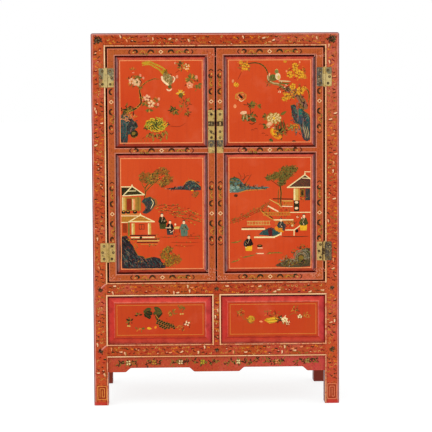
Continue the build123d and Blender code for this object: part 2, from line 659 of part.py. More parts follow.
# ---------------------------------------------------------------- doors
door_y = (FRONT, FRONT + DOOR)
door_tenon_y = middle(FRONT, DOOR_TENON, DOOR)
door_tongue_y = grown(tongue_y, FIT)
stile_inner = (DOOR_OUTER + DOOR_STILE, DOOR_MEETING - DOOR_STILE)  # between the stiles
door_rails = {
    "top": (DOOR_HIGH - DOOR_TOP_RAIL, DOOR_HIGH),
    "middle": (DOOR_MIDDLE, DOOR_MIDDLE + DOOR_MIDDLE_RAIL),
    "bottom": (DOOR_LOW, DOOR_LOW + DOOR_BOTTOM_RAIL),
}
door_panels = {
    "upper": (door_rails["middle"][1], door_rails["top"][0]),
    "lower": (door_rails["bottom"][1], door_rails["middle"][0]),
}


def door_stile(x, inner_x, towards_panel):
    """A stile of the left door. towards_panel is +1 if the panels lie to its right."""
    with BuildPart() as stile:
        slab(x, door_y, (DOOR_LOW, DOOR_HIGH))
        fillet(stile.edges().filter_by(Axis.Z).group_by(Axis.Y)[0], EASE)
        groove_x = (inner_x - towards_panel * GROOVE, inner_x)
        slab(groove_x, door_tongue_y, grown((DOOR_LOW, DOOR_HIGH), -DOOR_STILE / 2), Mode.SUBTRACT)
        mortise_x = (inner_x - towards_panel * (DOOR_TENON_LENGTH + FIT), inner_x)
        for level in door_rails.values():
            height = grown(level, FIT - DOOR_SHOULDER)
            slab(mortise_x, grown(door_tenon_y, FIT), height, Mode.SUBTRACT)
    return stile.part


def door_rail(level, groove_above, groove_below):
    """A rail of the left door."""
    with BuildPart() as rail:
        slab(stile_inner, door_y, level)
        fillet(rail.edges().filter_by(Axis.X).group_by(Axis.Y)[0], EASE)
        slab(grown(stile_inner, DOOR_TENON_LENGTH), door_tenon_y, grown(level, -DOOR_SHOULDER))
        groove_x = grown(stile_inner, DOOR_TENON_LENGTH)
        if groove_above:
            slab(groove_x, door_tongue_y, (level[1] - GROOVE, level[1]), Mode.SUBTRACT)
        if groove_below:
            slab(groove_x, door_tongue_y, (level[0], level[0] + GROOVE), Mode.SUBTRACT)
    return rail.part


def staple(height, reach, eye_r, hole_r, width, shank, plate_face=PLATE_FACE):
    """A brass eye on the left lock plate: its shank passes through the stile, and its ends are
    bent over on the inside."""
    eye_y = plate_face - reach
    with BuildPart() as eye:
        with BuildSketch(Plane.YZ.offset(LOCK_X - width / 2)):
            with Locations((eye_y, height)):
                Circle(eye_r)
            with Locations(((eye_y + FRONT + DOOR) / 2, height)):
                Rectangle(FRONT + DOOR - eye_y, shank)
            with Locations((FRONT + DOOR + CLENCH / 2, height)):
                Rectangle(CLENCH, 2 * CLENCH_HALF)
            with Locations((eye_y, height)):
                Circle(hole_r, mode=Mode.SUBTRACT)
        extrude(amount=width)
    return eye.part


def shank_hole(height, width, shank, y):
    """The spans of the hole for a staple's shank."""
    x = (LOCK_X - width / 2, LOCK_X + width / 2)
    z = (height - shank / 2, height + shank / 2)
    return grown(x, SHANK_FIT), y, grown(z, SHANK_FIT)


staple_holes = ((STAPLE_HEIGHT, STAPLE_WIDTH, STAPLE_SHANK), (PULL_HEIGHT, PULL_EYE_WIDTH, PULL_SHANK))
hinge_stile = door_stile((DOOR_OUTER, stile_inner[0]), stile_inner[0], 1)
with BuildPart() as hinge_stile_bored:
    add(hinge_stile)
    for across, z in HINGE_NAIL_SPOTS:
        bored(PIN_X + across, z, NAIL_R + NAIL_FIT, NAIL_LENGTH)
meeting_stile = door_stile((stile_inner[1], DOOR_MEETING), stile_inner[1], -1)
with BuildPart() as meeting_stile_bored:
    add(meeting_stile)
    for hole in staple_holes:
        slab(*shank_hole(*hole, door_y), Mode.SUBTRACT)
    for z in LOCK_NAILS:
        bored(LOCK_X, z, NAIL_R + NAIL_FIT, NAIL_LENGTH)

door_parts = {
    "stile_hinge": hinge_stile_bored.part,
    "stile_meeting": meeting_stile_bored.part,
    "rail_top": door_rail(door_rails["top"], False, True),
    "rail_middle": door_rail(door_rails["middle"], True, True),
    "rail_bottom": door_rail(door_rails["bottom"], True, False),
}
for name, z in door_panels.items():
    door_parts[f"panel_{name}"] = raised_panel(
        front_face(stile_inner, z), stile_inner[1] - stile_inner[0], z[1] - z[0], DOOR_BEVEL
    )
for name, part in door_parts.items():
    save(part, f"door_left_{name}")
    save(other_side(part), f"door_right_{name}")


# ---------------------------------------------------------------- hinges
def knuckle_spans(own):
    """The heights of the knuckles, of the three, that a leaf has, from the hinge's middle."""
    third = HINGE_HEIGHT / 3
    return [grown((third * (n - 1.5), third * (n - 0.5)), -KNUCKLE_GAP / 2) for n in own]


def hinge_leaf(direction, own, others):
    """A leaf about its pin at the origin, reaching to -X or to +X."""
    with BuildPart() as leaf:
        slab((0, direction * LEAF), (KNUCKLE_R - LEAF_T, KNUCKLE_R), (-HINGE_HEIGHT / 2, HINGE_HEIGHT / 2))
        corners = leaf.edges().filter_by(Axis.Y).filter_by(
            lambda e: abs(e.center().X - direction * LEAF) < FIT
        )
        fillet(corners, LEAF_CORNER)
        clear = KNUCKLE_R + KNUCKLE_GAP
        for span in knuckle_spans(others):
            slab((-clear, clear), (0, 2 * KNUCKLE_R), grown(span, KNUCKLE_GAP), Mode.SUBTRACT)
        for low, high in knuckle_spans(own):
            with Locations((0, 0, (low + high) / 2)):
                Cylinder(KNUCKLE_R, high - low)
        Cylinder(PIN_R + PIN_FIT, HINGE_HEIGHT + 1, mode=Mode.SUBTRACT)
        for across, up in HINGE_NAILS:
            spot = (direction * across, KNUCKLE_R, up)
            with Locations(Plane(origin=spot, x_dir=(1, 0, 0), z_dir=(0, 1, 0))):
                Hole(NAIL_R + NAIL_FIT)
    return leaf.part


HINGE_SPOTS = [(PIN_X, PIN_Y, z) for z in HINGE_HEIGHTS]


def at_hinges(part):
    """A piece of the left hinges, at both of their heights."""
    with BuildPart() as both:
        with Locations(*HINGE_SPOTS):
            add(part)
    return both.part


with BuildPart() as pin:
    Cylinder(PIN_R, HINGE_HEIGHT)
    for end in (-1, 1):
        with Locations((0, 0, end * (HINGE_HEIGHT + PIN_HEAD) / 2)):
            Cylinder(PIN_HEAD_R, PIN_HEAD)
    rims = pin.edges().filter_by(GeomType.CIRCLE).filter_by(
        lambda e: e.radius > PIN_R + FIT and abs(e.center().Z) > HINGE_HEIGHT / 2 + PIN_HEAD / 2
    )
    fillet(rims, PIN_HEAD / 2)

door_leaves = at_hinges(hinge_leaf(1, (1,), (0, 2)))
save(pair(at_hinges(hinge_leaf(-1, (0, 2), (1,)))), "hinge_leaves_post")
save(pair(at_hinges(pin.part)), "hinge_pins")
save(door_leaves, "hinge_leaves_left_door")
save(other_side(door_leaves), "hinge_leaves_right_door")

# ---------------------------------------------------------------- nails
with BuildPart() as nail:
    with BuildSketch() as half_section:
        with BuildLine():
            RadiusArc(
                (0, -NAIL_DOME),
                (NAIL_HEAD_R, 0),
                (NAIL_HEAD_R**2 + NAIL_DOME**2) / (2 * NAIL_DOME),
            )
            Polyline(
                (NAIL_HEAD_R, 0),
                (NAIL_R, 0),
                (NAIL_R, NAIL_LENGTH - NAIL_POINT),
                (0, NAIL_LENGTH),
                (0, -NAIL_DOME),
            )
        make_face()
    revolve(axis=Axis.Y)


def nails_at(spots):
    with BuildPart() as nails:
        with Locations(*[(x, PLATE_FACE, z) for x, z in spots]):
            add(nail.part)
    return nails.part


post_nails = nails_at([(PIN_X - across, z) for across, z in HINGE_NAIL_SPOTS])
door_nails = nails_at(
    [(PIN_X + across, z) for across, z in HINGE_NAIL_SPOTS] + [(LOCK_X, z) for z in LOCK_NAILS]
)
save(pair(post_nails), "nails_post")
save(door_nails, "nails_left_door")
save(other_side(door_nails), "nails_right_door")

# ---------------------------------------------------------------- lock plates, staples, pulls
with BuildPart() as lock_plate:
    plate_x = grown((LOCK_X, LOCK_X), LOCK_PLATE[0] / 2)
    slab(plate_x, (PLATE_FACE, FRONT), (PLATE_LOW, PLATE_LOW + LOCK_PLATE[1]))
    fillet(lock_plate.edges().filter_by(Axis.Y), LEAF_CORNER)
    for hole in staple_holes:
        slab(*shank_hole(*hole, (PLATE_FACE, FRONT)), Mode.SUBTRACT)
    for z in LOCK_NAILS:
        with Locations(Plane(origin=(LOCK_X, PLATE_FACE, z), x_dir=(1, 0, 0), z_dir=(0, -1, 0))):
            Hole(NAIL_R + NAIL_FIT)
save(lock_plate.part, "lock_plate_left")
save(other_side(lock_plate.part), "lock_plate_right")

with BuildPart() as staples:
    add(staple(STAPLE_HEIGHT, STAPLE_REACH, STAPLE_R, STAPLE_HOLE_R, STAPLE_WIDTH, STAPLE_SHANK))
    add(staple(PULL_HEIGHT, PULL_REACH, PULL_EYE_R, PULL_HOLE_R, PULL_EYE_WIDTH, PULL_SHANK))
save(staples.part, "staples_left")
save(other_side(staples.part), "staples_right")

with BuildPart() as ring:
    with Locations(Location((LOCK_X, PLATE_FACE - PULL_REACH, RING_AXIS_Z - RING_R), (90, 0, 0))):
        Torus(RING_R, RING_WIRE_R)
save(ring.part, "pull_ring_left")
save(other_side(ring.part), "pull_ring_right")
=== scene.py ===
"""The finish of a Chinese wedding cabinet: worn red lacquer with painted scenes and borders,
cream beads, plain wood inside, and tarnished brass.

Metres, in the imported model's frame: X to the right, Y to the back, Z up. A painting is drawn in
units of its own, u to the right and v down from its top left corner: a hundredth of the field's
width for the scenes, and a millimetre for the borders and the apron."""

import math
import random

import bmesh
import bpy
from mathutils import Matrix, Vector


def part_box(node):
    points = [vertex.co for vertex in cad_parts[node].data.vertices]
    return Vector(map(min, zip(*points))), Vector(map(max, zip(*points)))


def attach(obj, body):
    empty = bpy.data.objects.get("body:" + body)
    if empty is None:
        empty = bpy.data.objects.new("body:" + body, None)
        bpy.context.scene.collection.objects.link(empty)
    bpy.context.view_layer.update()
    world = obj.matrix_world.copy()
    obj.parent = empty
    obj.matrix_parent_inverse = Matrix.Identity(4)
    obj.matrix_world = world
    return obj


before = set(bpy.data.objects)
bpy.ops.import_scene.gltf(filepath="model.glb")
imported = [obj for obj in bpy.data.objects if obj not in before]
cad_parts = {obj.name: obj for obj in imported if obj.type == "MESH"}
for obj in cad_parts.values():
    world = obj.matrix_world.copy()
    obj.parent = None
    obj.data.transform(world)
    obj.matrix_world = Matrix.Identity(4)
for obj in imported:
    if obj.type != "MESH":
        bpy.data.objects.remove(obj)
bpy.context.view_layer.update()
MM = 0.001


def low(node):
    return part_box(node)[0]


def high(node):
    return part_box(node)[1]


# ---------------------------------------------------------------- sizes, from the frame
FRONT = low("post_front_left").y
BACK = high("post_back_left").y
HALF = high("post_front_right").x  # half the cabinet's width
INNER = low("post_front_right").x  # half the width between the posts
TOP = high("top_rail_front").z
TOP_RAIL_FOOT = low("top_rail_back").z
DOOR_SILL = low("door_left_stile_hinge").z - 5 * MM  # top of the middle rail's face, under a gap
MIDDLE_RAIL_FOOT = low("middle_rail_front").z
STORE_SILL = high("bottom_rail_front").z
BOTTOM_RAIL_FOOT = low("bottom_rail_front").z
MUNTIN = high("muntin_front").x  # half its width
POST = HALF - INNER
BEAD = 7 * MM  # the margin along the frame's inner edges in which the painted beads lie
EDGE_ROUND = 8 * MM  # radius of the posts' and the top frame's outer edges
DOOR = 24 * MM  # thickness of a door
FIELD_SET = 2 * MM  # the raised fields lie this far behind the frame's face
APRON_SET = 7 * MM
DOOR_BEVEL = 16 * MM  # from a door frame's inner edge to the field
FIXED_BEVEL = 29 * MM  # the same on the lower panels

# ---------------------------------------------------------------- paint
PAINT = 0.1 * MM  # the first layer of paint stands this far above the lacquer
COAT = 0.004 * MM  # and each later stroke this much above those it may cross
CELL = 3 * MM  # the paint's thickness is kept for squares of this size
SUNK = 0.2 * MM  # the strokes reach this far down into the lacquer
NAIL_DIRT = 6 * MM  # radius of the dirt round a nail head
LIGHT = 1.22  # the studio shows an upright surface this many times as light as its own colour
VEIL = 0.009  # and its sheen adds about this much to every colour


def rgb(red, green, blue):
    """The linear colour that shows as these display values, 0 to 255, in the studio's light."""

    def linear(value):
        share = value / 255
        return share / 12.92 if share <= 0.04045 else ((share + 0.055) / 1.055) ** 2.4

    return tuple(max(linear(value) / LIGHT - VEIL, 0.001) for value in (red, green, blue)) + (1.0,)


RED = rgb(206, 68, 26)
FRAME_RED = rgb(194, 68, 36)
DOOR_RED = rgb(190, 84, 42)
DEEP_RED = rgb(140, 34, 18)
WORN_RED = rgb(206, 96, 78)
MAROON = rgb(74, 14, 14)
# a near-black painted shade for the door edge faces that lie in the gaps
GAP_SHADE = rgb(30, 4, 4)
CREAM = rgb(252, 212, 164)
IVORY = rgb(246, 222, 160)
SALMON = rgb(240, 150, 96)
PINK = rgb(234, 148, 112)
OCHRE = rgb(202, 138, 52)
STRAW = rgb(214, 178, 92)
BLUSH = rgb(238, 182, 136)
BUFF = rgb(212, 182, 126)
GOLD = rgb(184, 140, 32)
YELLOW = rgb(236, 178, 44)
AMBER = rgb(228, 134, 34)
LIME = rgb(178, 164, 40)
OLIVE = rgb(132, 108, 46)
MOSS = rgb(100, 98, 44)
LEAF = rgb(70, 76, 38)
PINE = rgb(40, 46, 28)
TEAL = rgb(40, 80, 78)
JADE = rgb(88, 118, 98)
SLATE = rgb(54, 62, 60)
INK = rgb(32, 24, 22)
MAUVE = rgb(140, 90, 92)
BARK = rgb(84, 48, 32)
RUST = rgb(146, 52, 22)

GREENS = (OLIVE, MOSS)
GROWTH = (OLIVE, MOSS, OCHRE)
LEAVES = (LEAF, OLIVE)
DRY = (OLIVE, OCHRE, BARK)
EARTHS = (BARK, RUST, OLIVE)
TWIGS = (OLIVE, BARK, MOSS, OCHRE)


# ---------------------------------------------------------------- materials
class Shader:
    """A material that is built up node by node; each method adds nodes and returns an output."""

    def __init__(self, name):
        self.material = bpy.data.materials.new(name)
        self.material.use_nodes = True
        self.tree = self.material.node_tree
        self.surface = self.tree.nodes["Principled BSDF"]
        self.coordinates = self.tree.nodes.new("ShaderNodeTexCoord").outputs["Object"]

    def feed(self, socket, value):
        if isinstance(value, bpy.types.NodeSocket):
            self.tree.links.new(value, socket)
        else:
            socket.default_value = value

    def node(self, kind, values, output=0, **settings):
        """Adds a node; values maps its input sockets, by name or number, to numbers or outputs."""
        made = self.tree.nodes.new("ShaderNode" + kind)
        for key, value in settings.items():
            setattr(made, key, value)
        for key, value in values.items():
            self.feed(made.inputs[key], value)
        return made.outputs[output]

    def stretched(self, x, y, z):
        return self.node("Mapping", {"Vector": self.coordinates, "Scale": (x, y, z)})

    def noise(self, scale, detail=3.0, roughness=0.5, place=None):
        place = self.coordinates if place is None else place
        values = {"Vector": place, "Scale": scale, "Detail": detail, "Roughness": roughness}
        return self.node("TexNoise", values)

    def between(self, value, start, end, first=0.0, last=1.0):
        """Maps start to first and end to last, and holds those values outside."""
        values = {"Value": value, "From Min": start, "From Max": end, "To Min": first, "To Max": last}
        return self.node("MapRange", values)

    def cloud(self, scale, start, end, first=0.0, last=1.0, **noise):
        """Soft patches: first where the noise lies under start, and last where it lies over end."""
        return self.between(self.noise(scale, **noise), start, end, first, last)

    def maths(self, operation, a, b=0.0):
        return self.node("Math", {0: a, 1: b}, operation=operation)

    def both(self, *masks):
        """The product of several masks."""
        product = masks[0]
        for mask in masks[1:]:
            product = self.maths("MULTIPLY", product, mask)
        return product

    def mix(self, share, a, b):
        return self.node("Mix", {0: share, 6: a, 7: b}, output=2, data_type="RGBA")

    def axis(self, name):
        return self.node("SeparateXYZ", {"Vector": self.coordinates}, output=name)

    def along(self, axis, start, end, first=0.0, last=1.0):
        """Maps the place along an axis from start and end to first and last."""
        return self.between(self.axis(axis), start, end, first, last)

    def inside(self, axis, start, end):
        """How far in a point is from the nearer of two limits along an axis."""
        offset = self.maths("SUBTRACT", self.axis(axis), (start + end) / 2)
        return self.maths("SUBTRACT", (end - start) / 2, self.maths("ABSOLUTE", offset))

    def within(self, axis, start, end):
        """1 where a point lies between two limits along an axis, and 0 elsewhere."""
        return self.between(self.inside(axis, start, end), -0.5 * MM, 0.5 * MM)

    def around(self, x, z, points, reach):
        """1 around each of some points in the plane of x and z, out to about this reach."""
        nearest = 1.0
        for point_x, point_z in points:
            aside = self.maths("POWER", self.maths("SUBTRACT", x, point_x), 2.0)
            up = self.maths("POWER", self.maths("SUBTRACT", z, point_z), 2.0)
            nearest = self.maths("MINIMUM", nearest, self.maths("ADD", aside, up))
        return self.between(nearest, reach ** 2, (0.8 * reach) ** 2)

    def ramp(self, value, stops):
        """The colour at a value; stops are pairs of a value from 0 to 1 and its colour."""
        made = self.tree.nodes.new("ShaderNodeValToRGB")
        self.feed(made.inputs["Fac"], value)
        elements = made.color_ramp.elements
        while len(elements) < len(stops):
            elements.new(1.0)
        for element, (place, colour) in zip(elements, stops):
            element.position = place
            element.color = colour
        return made.outputs["Color"]

    def edges(self, radius):
        """1 along edges and in corners, over about this radius, and 0 on flat faces."""
        round_normal = self.node("Bevel", {"Radius": radius}, samples=4)
        normal = self.node("NewGeometry", {}, output="Normal")
        dot = self.node("VectorMath", {0: round_normal, 1: normal}, "Value", operation="DOT_PRODUCT")
        return self.between(dot, 0.97, 0.75)

    def bump(self, height, distance):
        self.feed(self.surface.inputs["Normal"], self.node("Bump", {"Height": height, "Distance": distance}))

    def done(self, colour, roughness, **constants):
        """Connects colour and roughness; constants are set on the shader's own sockets."""
        self.feed(self.surface.inputs["Base Color"], colour)
        self.feed(self.surface.inputs["Roughness"], roughness)
        for key, value in constants.items():
            self.surface.inputs[key.replace("_", " ")].default_value = value
        return self.material


def old_lacquer(s, colour, warm, rubbed):
    """The colour of old lacquer: clouded, faintly streaked, and rubbed paler in patches."""
    tone = s.mix(s.cloud(4, 0.35, 0.65), colour, warm)
    tone = s.mix(s.cloud(1, 0.5, 0.75, last=0.12, place=s.stretched(90, 90, 6)), tone, DEEP_RED)
    return s.mix(s.cloud(11, 0.55, 0.7, last=0.6, detail=7, roughness=0.62), tone, rubbed)


def mottled(s, tone, amount):
    """The smudges, specks and flecks that painted borders leave as they wear down."""
    tone = s.mix(s.cloud(75, 0.5, 0.62, last=0.6 * amount, detail=4, roughness=0.6), tone, rgb(172, 86, 30))
    tone = s.mix(s.cloud(140, 0.54, 0.66, last=0.75 * amount, roughness=0.6), tone, rgb(104, 34, 20))
    return s.mix(s.cloud(170, 0.62, 0.72, last=0.6 * amount, detail=2), tone, rgb(224, 142, 84))


def mottled_front(s, tone, amount):
    """The same smudges, on the frame's front face alone."""
    front = s.along("Y", FRONT + 3 * MM, FRONT + 1 * MM)
    return s.mix(front, tone, mottled(s, tone, amount))


def rounded_edge_shading(s, tone, across, deep):
    """The two lines of a rounded edge: painted shade on its outer side, and in front a pale line of wear and
    painted highlight.

    across and deep are how far in a point is from the side and from the front or back face."""
    on_round = s.between(s.maths("ADD", across, deep), EDGE_ROUND * 1.1, EDGE_ROUND * 1.02)
    turn = s.maths("SUBTRACT", deep, across)
    uneven = s.cloud(28, 0.35, 0.6, first=0.55, detail=4)
    # pale: a painted highlight on the round, patchy like wear
    pale = s.both(on_round, s.between(turn, -8.2 * MM, -7 * MM), uneven, 0.85)
    # dark: a painted shade where the round turns away from the front
    dark = s.both(on_round, s.between(turn, -4.2 * MM, -2.6 * MM), 0.92)
    return s.mix(dark, s.mix(pale, tone, rgb(226, 156, 142)), rgb(122, 18, 14))


def sealed(s, tone, grain=None):
    """Fine specks, grime and painted shade along the edges and in the corners, the surface's relief and its
    dull shine.
    """
    grain = s.noise(60, detail=5) if grain is None else grain
    tone = s.mix(s.cloud(240, 0.66, 0.74, last=0.45, detail=2), tone, DEEP_RED)
    # maroon along every edge and in the corners: partly dirt in the joints, partly painted shade
    grime = s.both(s.edges(2.5 * MM), s.cloud(25, 0.3, 0.6, first=0.35), 0.75)
    tone = s.mix(grime, tone, MAROON)
    s.bump(s.mix(0.5, s.noise(420), grain), 0.12 * MM)
    shine = s.cloud(35, 0.3, 0.7, 0.32, 0.5, detail=4)
    return s.done(tone, shine, Specular_IOR_Level=0.14, Coat_Weight=0.05, Coat_Roughness=0.2)


def frame_lacquer(name, colour, warm, shaded_faces):
    """The posts' and rails' lacquer. The last argument gives the mask of the faces that look inwards, for a
    painted shade.
    """
    s = Shader(name)
    tone = old_lacquer(s, colour, warm, WORN_RED)
    pinker = s.along("Z", 0.62, 0.18, last=0.6)
    rosy = s.cloud(7, 0.4, 0.62, detail=5, roughness=0.6)
    rightward = s.along("X", -0.3, 0.46, first=0.3)
    tone = s.mix(s.both(pinker, rosy, rightward), tone, rgb(200, 66, 62))
    upper_right = s.both(s.along("X", 0.3, 0.46), s.along("Z", 1.0, 1.3), rosy, 0.6)
    tone = s.mix(upper_right, tone, rgb(204, 112, 92))
    tone = mottled_front(s, tone, 1.0)
    side = s.inside("X", -HALF, HALF)
    face = s.inside("Y", FRONT, BACK)
    top = s.inside("Z", -TOP, TOP)
    # painted shade and highlight along the rounded outer edges of the sides and the top
    tone = rounded_edge_shading(s, rounded_edge_shading(s, tone, side, face), top, face)
    tone = s.mix(s.along("Z", 16 * MM, 12 * MM, last=0.6), tone, rgb(196, 44, 48))
    # the faces that look inwards get a painted shade
    return sealed(s, s.mix(shaded_faces(s), tone, rgb(124, 52, 38)))


def post_inward(s):
    """The posts' faces towards the doors and the inside, and towards each other on each side: they take a
    painted shade.
    """
    inner = s.both(s.within("X", -INNER - 1 * MM, INNER + 1 * MM),
                   s.along("Y", FRONT + 1.5 * MM, FRONT + 3 * MM))
    facing = s.within("Y", FRONT + POST - 1 * MM, BACK - POST + 1 * MM)
    return s.both(s.maths("MAXIMUM", inner, facing), 0.92)


def rail_inward(s):
    """The front rails' faces in the door gap and towards the inside: they take a painted shade."""
    return s.both(s.within("Y", FRONT + 2 * MM, FRONT + 42 * MM),
                  s.along("Z", TOP - 9 * MM, TOP - 12 * MM))


def door_frame_lacquer(name):
    """The doors' stiles and rails: a browner red, mottled in front, and painted shade on edges in the gaps.
    """
    s = Shader(name)
    tone = old_lacquer(s, DOOR_RED, rgb(186, 92, 44), rgb(212, 104, 78))
    tone = mottled_front(s, tone, 0.75)
    # the edge faces within the door's thickness get a near-black painted shade
    return sealed(s, s.mix(s.within("Y", FRONT + 1.5 * MM, FRONT + DOOR - 1 * MM), tone, GAP_SHADE))


def panel_lacquer(name, colour, warm, rubbed, rect, depth, bands):
    """A raised panel's lacquer, with the bands of its margins, largely painted shadow, shade and highlights.

    rect is the opening's left, top, right and bottom, and depth is how far in its field begins.
    bands gives each side's colours and painted shading as pairs of a distance in from the opening and a
    colour."""
    s = Shader(name)
    tone = old_lacquer(s, colour, warm, rubbed)
    left, top, right, bottom = rect
    x, z = s.axis("X"), s.axis("Z")
    reach = {"left": s.maths("SUBTRACT", x, left), "right": s.maths("SUBTRACT", right, x),
             "top": s.maths("SUBTRACT", top, z), "bottom": s.maths("SUBTRACT", z, bottom)}
    nearest = reach["left"]
    for side in ("right", "top", "bottom"):
        nearest = s.maths("MINIMUM", nearest, reach[side])
    outside = s.both(s.between(nearest, depth, depth - 0.6 * MM),
                     s.along("Y", FRONT + 14 * MM, FRONT + 12 * MM))
    wander = s.cloud(45, 0.3, 0.7, -1.2 * MM, 1.2 * MM, detail=4)
    # each side's band paints its shadow, shade and highlights over the margin
    for side, shown in bands.items():
        share = s.maths("DIVIDE", s.maths("ADD", reach[side], wander), depth)
        band = s.ramp(share, [(distance * MM / depth, shade) for distance, shade in shown])
        own = s.maths("LESS_THAN", reach[side], s.maths("ADD", nearest, 0.05 * MM))
        tone = s.mix(s.both(own, outside), tone, band)
    blotches = s.both(outside, s.cloud(30, 0.45, 0.68, last=0.5, detail=5, roughness=0.6))
    return sealed(s, s.mix(blotches, tone, DEEP_RED))


def apron_lacquer(name):
    """The front apron's lacquer: rosier than the frame's, and mottled in front."""
    s = Shader(name)
    tone = old_lacquer(s, rgb(184, 64, 40), rgb(192, 78, 50), rgb(208, 96, 80))
    tone = s.mix(s.along("X", 0.0, 0.46, last=0.6), tone, rgb(202, 66, 74))
    front = s.along("Y", FRONT + APRON_SET + 2 * MM, FRONT + APRON_SET + 1 * MM)
    return sealed(s, s.mix(front, MAROON, mottled(s, tone, 0.6)))


def plain_lacquer(name):
    """The sides' and the top's lacquer, without borders."""
    s = Shader(name)
    tone = old_lacquer(s, FRAME_RED, RED, WORN_RED)
    return sealed(s, tone, s.noise(1, detail=4, place=s.stretched(60, 60, 5)))


def painted(name, ground, wear):
    """Paint in each stroke's own colour, a little uneven and worn down to the ground in specks."""
    s = Shader(name)
    own = s.node("Attribute", {}, output="Color", attribute_name="Paint")
    tone = s.node("HueSaturation", {"Value": s.cloud(140, 0.3, 0.7, 0.82, 1.12), "Color": own})
    worn = s.cloud(320, 0.6 - wear, 0.7 - wear, last=0.75, detail=4, roughness=0.7)
    tone = s.mix(worn, tone, ground)
    s.bump(s.noise(500, detail=2), 0.1 * MM)
    return s.done(tone, s.cloud(60, 0.3, 0.7, 0.42, 0.6), Specular_IOR_Level=0.12)


def bead_paint(name, fresh, wear):
    """Paint on the beads, yellowed, rubbed thin and dirty in places."""
    s = Shader(name)
    tone = s.mix(s.cloud(7, 0.38, 0.62, detail=4), fresh, rgb(240, 178, 122))
    worn = s.noise(60, detail=6, roughness=0.7)
    tone = s.mix(s.between(worn, 0.6 - wear, 0.7 - wear, last=0.9), tone, rgb(196, 82, 52))
    tone = s.mix(s.cloud(150, 0.62, 0.72, last=0.6), tone, BARK)
    s.bump(worn, 0.15 * MM)
    return s.done(tone, 0.5, Specular_IOR_Level=0.14)


def bare_wood(name, along):
    """Plain elm, oiled by age: a long grain, with darker pores. along is the grain's axis."""
    s = Shader(name)
    grain_scale = [4 if axis == along else 55 for axis in "XYZ"]
    pore_scale = [26 if axis == along else 420 for axis in "XYZ"]
    grain = s.noise(1, detail=6, roughness=0.6, place=s.stretched(*grain_scale))
    tone = s.mix(s.between(grain, 0.36, 0.66), rgb(166, 114, 70), rgb(122, 76, 44))
    pores = s.noise(1, place=s.stretched(*pore_scale))
    tone = s.mix(s.between(pores, 0.58, 0.72, last=0.55), tone, rgb(80, 48, 28))
    tone = s.mix(s.cloud(3, 0.5, 0.72, last=0.4, detail=4), tone, rgb(98, 64, 40))
    s.bump(s.mix(0.5, grain, pores), 0.25 * MM)
    return s.done(tone, 0.68, Specular_IOR_Level=0.25)


def brass(name, metal, tarnish, amount, spots=(), nails=()):
    """Sheet brass under a patina in blotches and along the edges.

    spots are ovals of another tone: x, z, half of their width and height, and a colour.
    nails are the places, as x without its sign and z, of nails with a ring of dirt round each."""
    s = Shader(name)
    tone = s.mix(s.cloud(50, 0.35, 0.65, detail=4), metal, rgb(208, 172, 106))
    patina = s.cloud(42, 0.6 - amount, 0.68 - amount, detail=6, roughness=0.68)
    x, z = s.axis("X"), s.axis("Z")
    flakes = s.cloud(90, 0.42, 0.58, first=0.5, detail=5, roughness=0.7)
    tone = s.mix(s.both(patina, flakes), tone, tarnish)
    for spot_x, spot_z, half_width, half_height, shown in spots:
        across = s.maths("POWER", s.both(s.maths("SUBTRACT", x, spot_x), 1 / half_width), 2.0)
        up = s.maths("POWER", s.both(s.maths("SUBTRACT", z, spot_z), 1 / half_height), 2.0)
        heavy = s.between(s.maths("ADD", across, up), 1.15, 0.8)
        tone = s.mix(s.both(heavy, s.between(flakes, 0.5, 0.8, first=0.7)), tone, shown)
    tone = s.mix(s.cloud(150, 0.58, 0.68, last=0.6, detail=4, roughness=0.65), tone, rgb(84, 62, 34))
    tone = s.mix(s.cloud(120, 0.62, 0.7, last=0.5, detail=4), tone, rgb(240, 214, 142))
    if nails:
        grime = s.around(s.maths("ABSOLUTE", x), z, nails, NAIL_DIRT)
        tone = s.mix(s.both(grime, s.between(flakes, 0.5, 0.7, first=0.75)), tone, rgb(62, 44, 20))
    tone = s.mix(s.both(s.edges(1.6 * MM), 0.75), tone, rgb(72, 54, 30))
    s.bump(s.noise(160, detail=2), 0.3 * MM)
    return s.done(tone, s.between(patina, 0.0, 1.0, 0.36, 0.6), Metallic=0.6)


# ---------------------------------------------------------------- drawing
def smooth(points, steps=4):
    """Points along a curve that passes smoothly through the given ones."""
    if len(points) < 3:
        return list(points)
    ends = [points[0], *points, points[-1]]
    path = []
    for a, b, c, d in zip(ends, ends[1:], ends[2:], ends[3:]):
        for step in range(steps):
            t = step / steps
            path.append(tuple(
                0.5 * (2 * q + (r - p) * t + (2 * p - 5 * q + 4 * r - s) * t**2
                       + (3 * q - p - 3 * r + s) * t**3)
                for p, q, r, s in zip(a, b, c, d)
            ))
    return path + [points[-1]]


def polar(u, v, distance, angle):
    """The point at this distance and angle in degrees, 0 to the right and 90 up."""
    turn = math.radians(angle)
    return (u + distance * math.cos(turn), v - distance * math.sin(turn))


def mesh_piece(name, vertices, faces, body, material):
    mesh = bpy.data.meshes.new(name)
    mesh.from_pydata(vertices, [], faces)
    shape = bmesh.new()
    shape.from_mesh(mesh)
    bmesh.ops.recalc_face_normals(shape, faces=shape.faces)
    shape.to_mesh(mesh)
    shape.free()
    piece = bpy.data.objects.new(name, mesh)
    bpy.context.scene.collection.objects.link(piece)
    mesh.materials.append(material)
    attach(piece, body)
    return piece


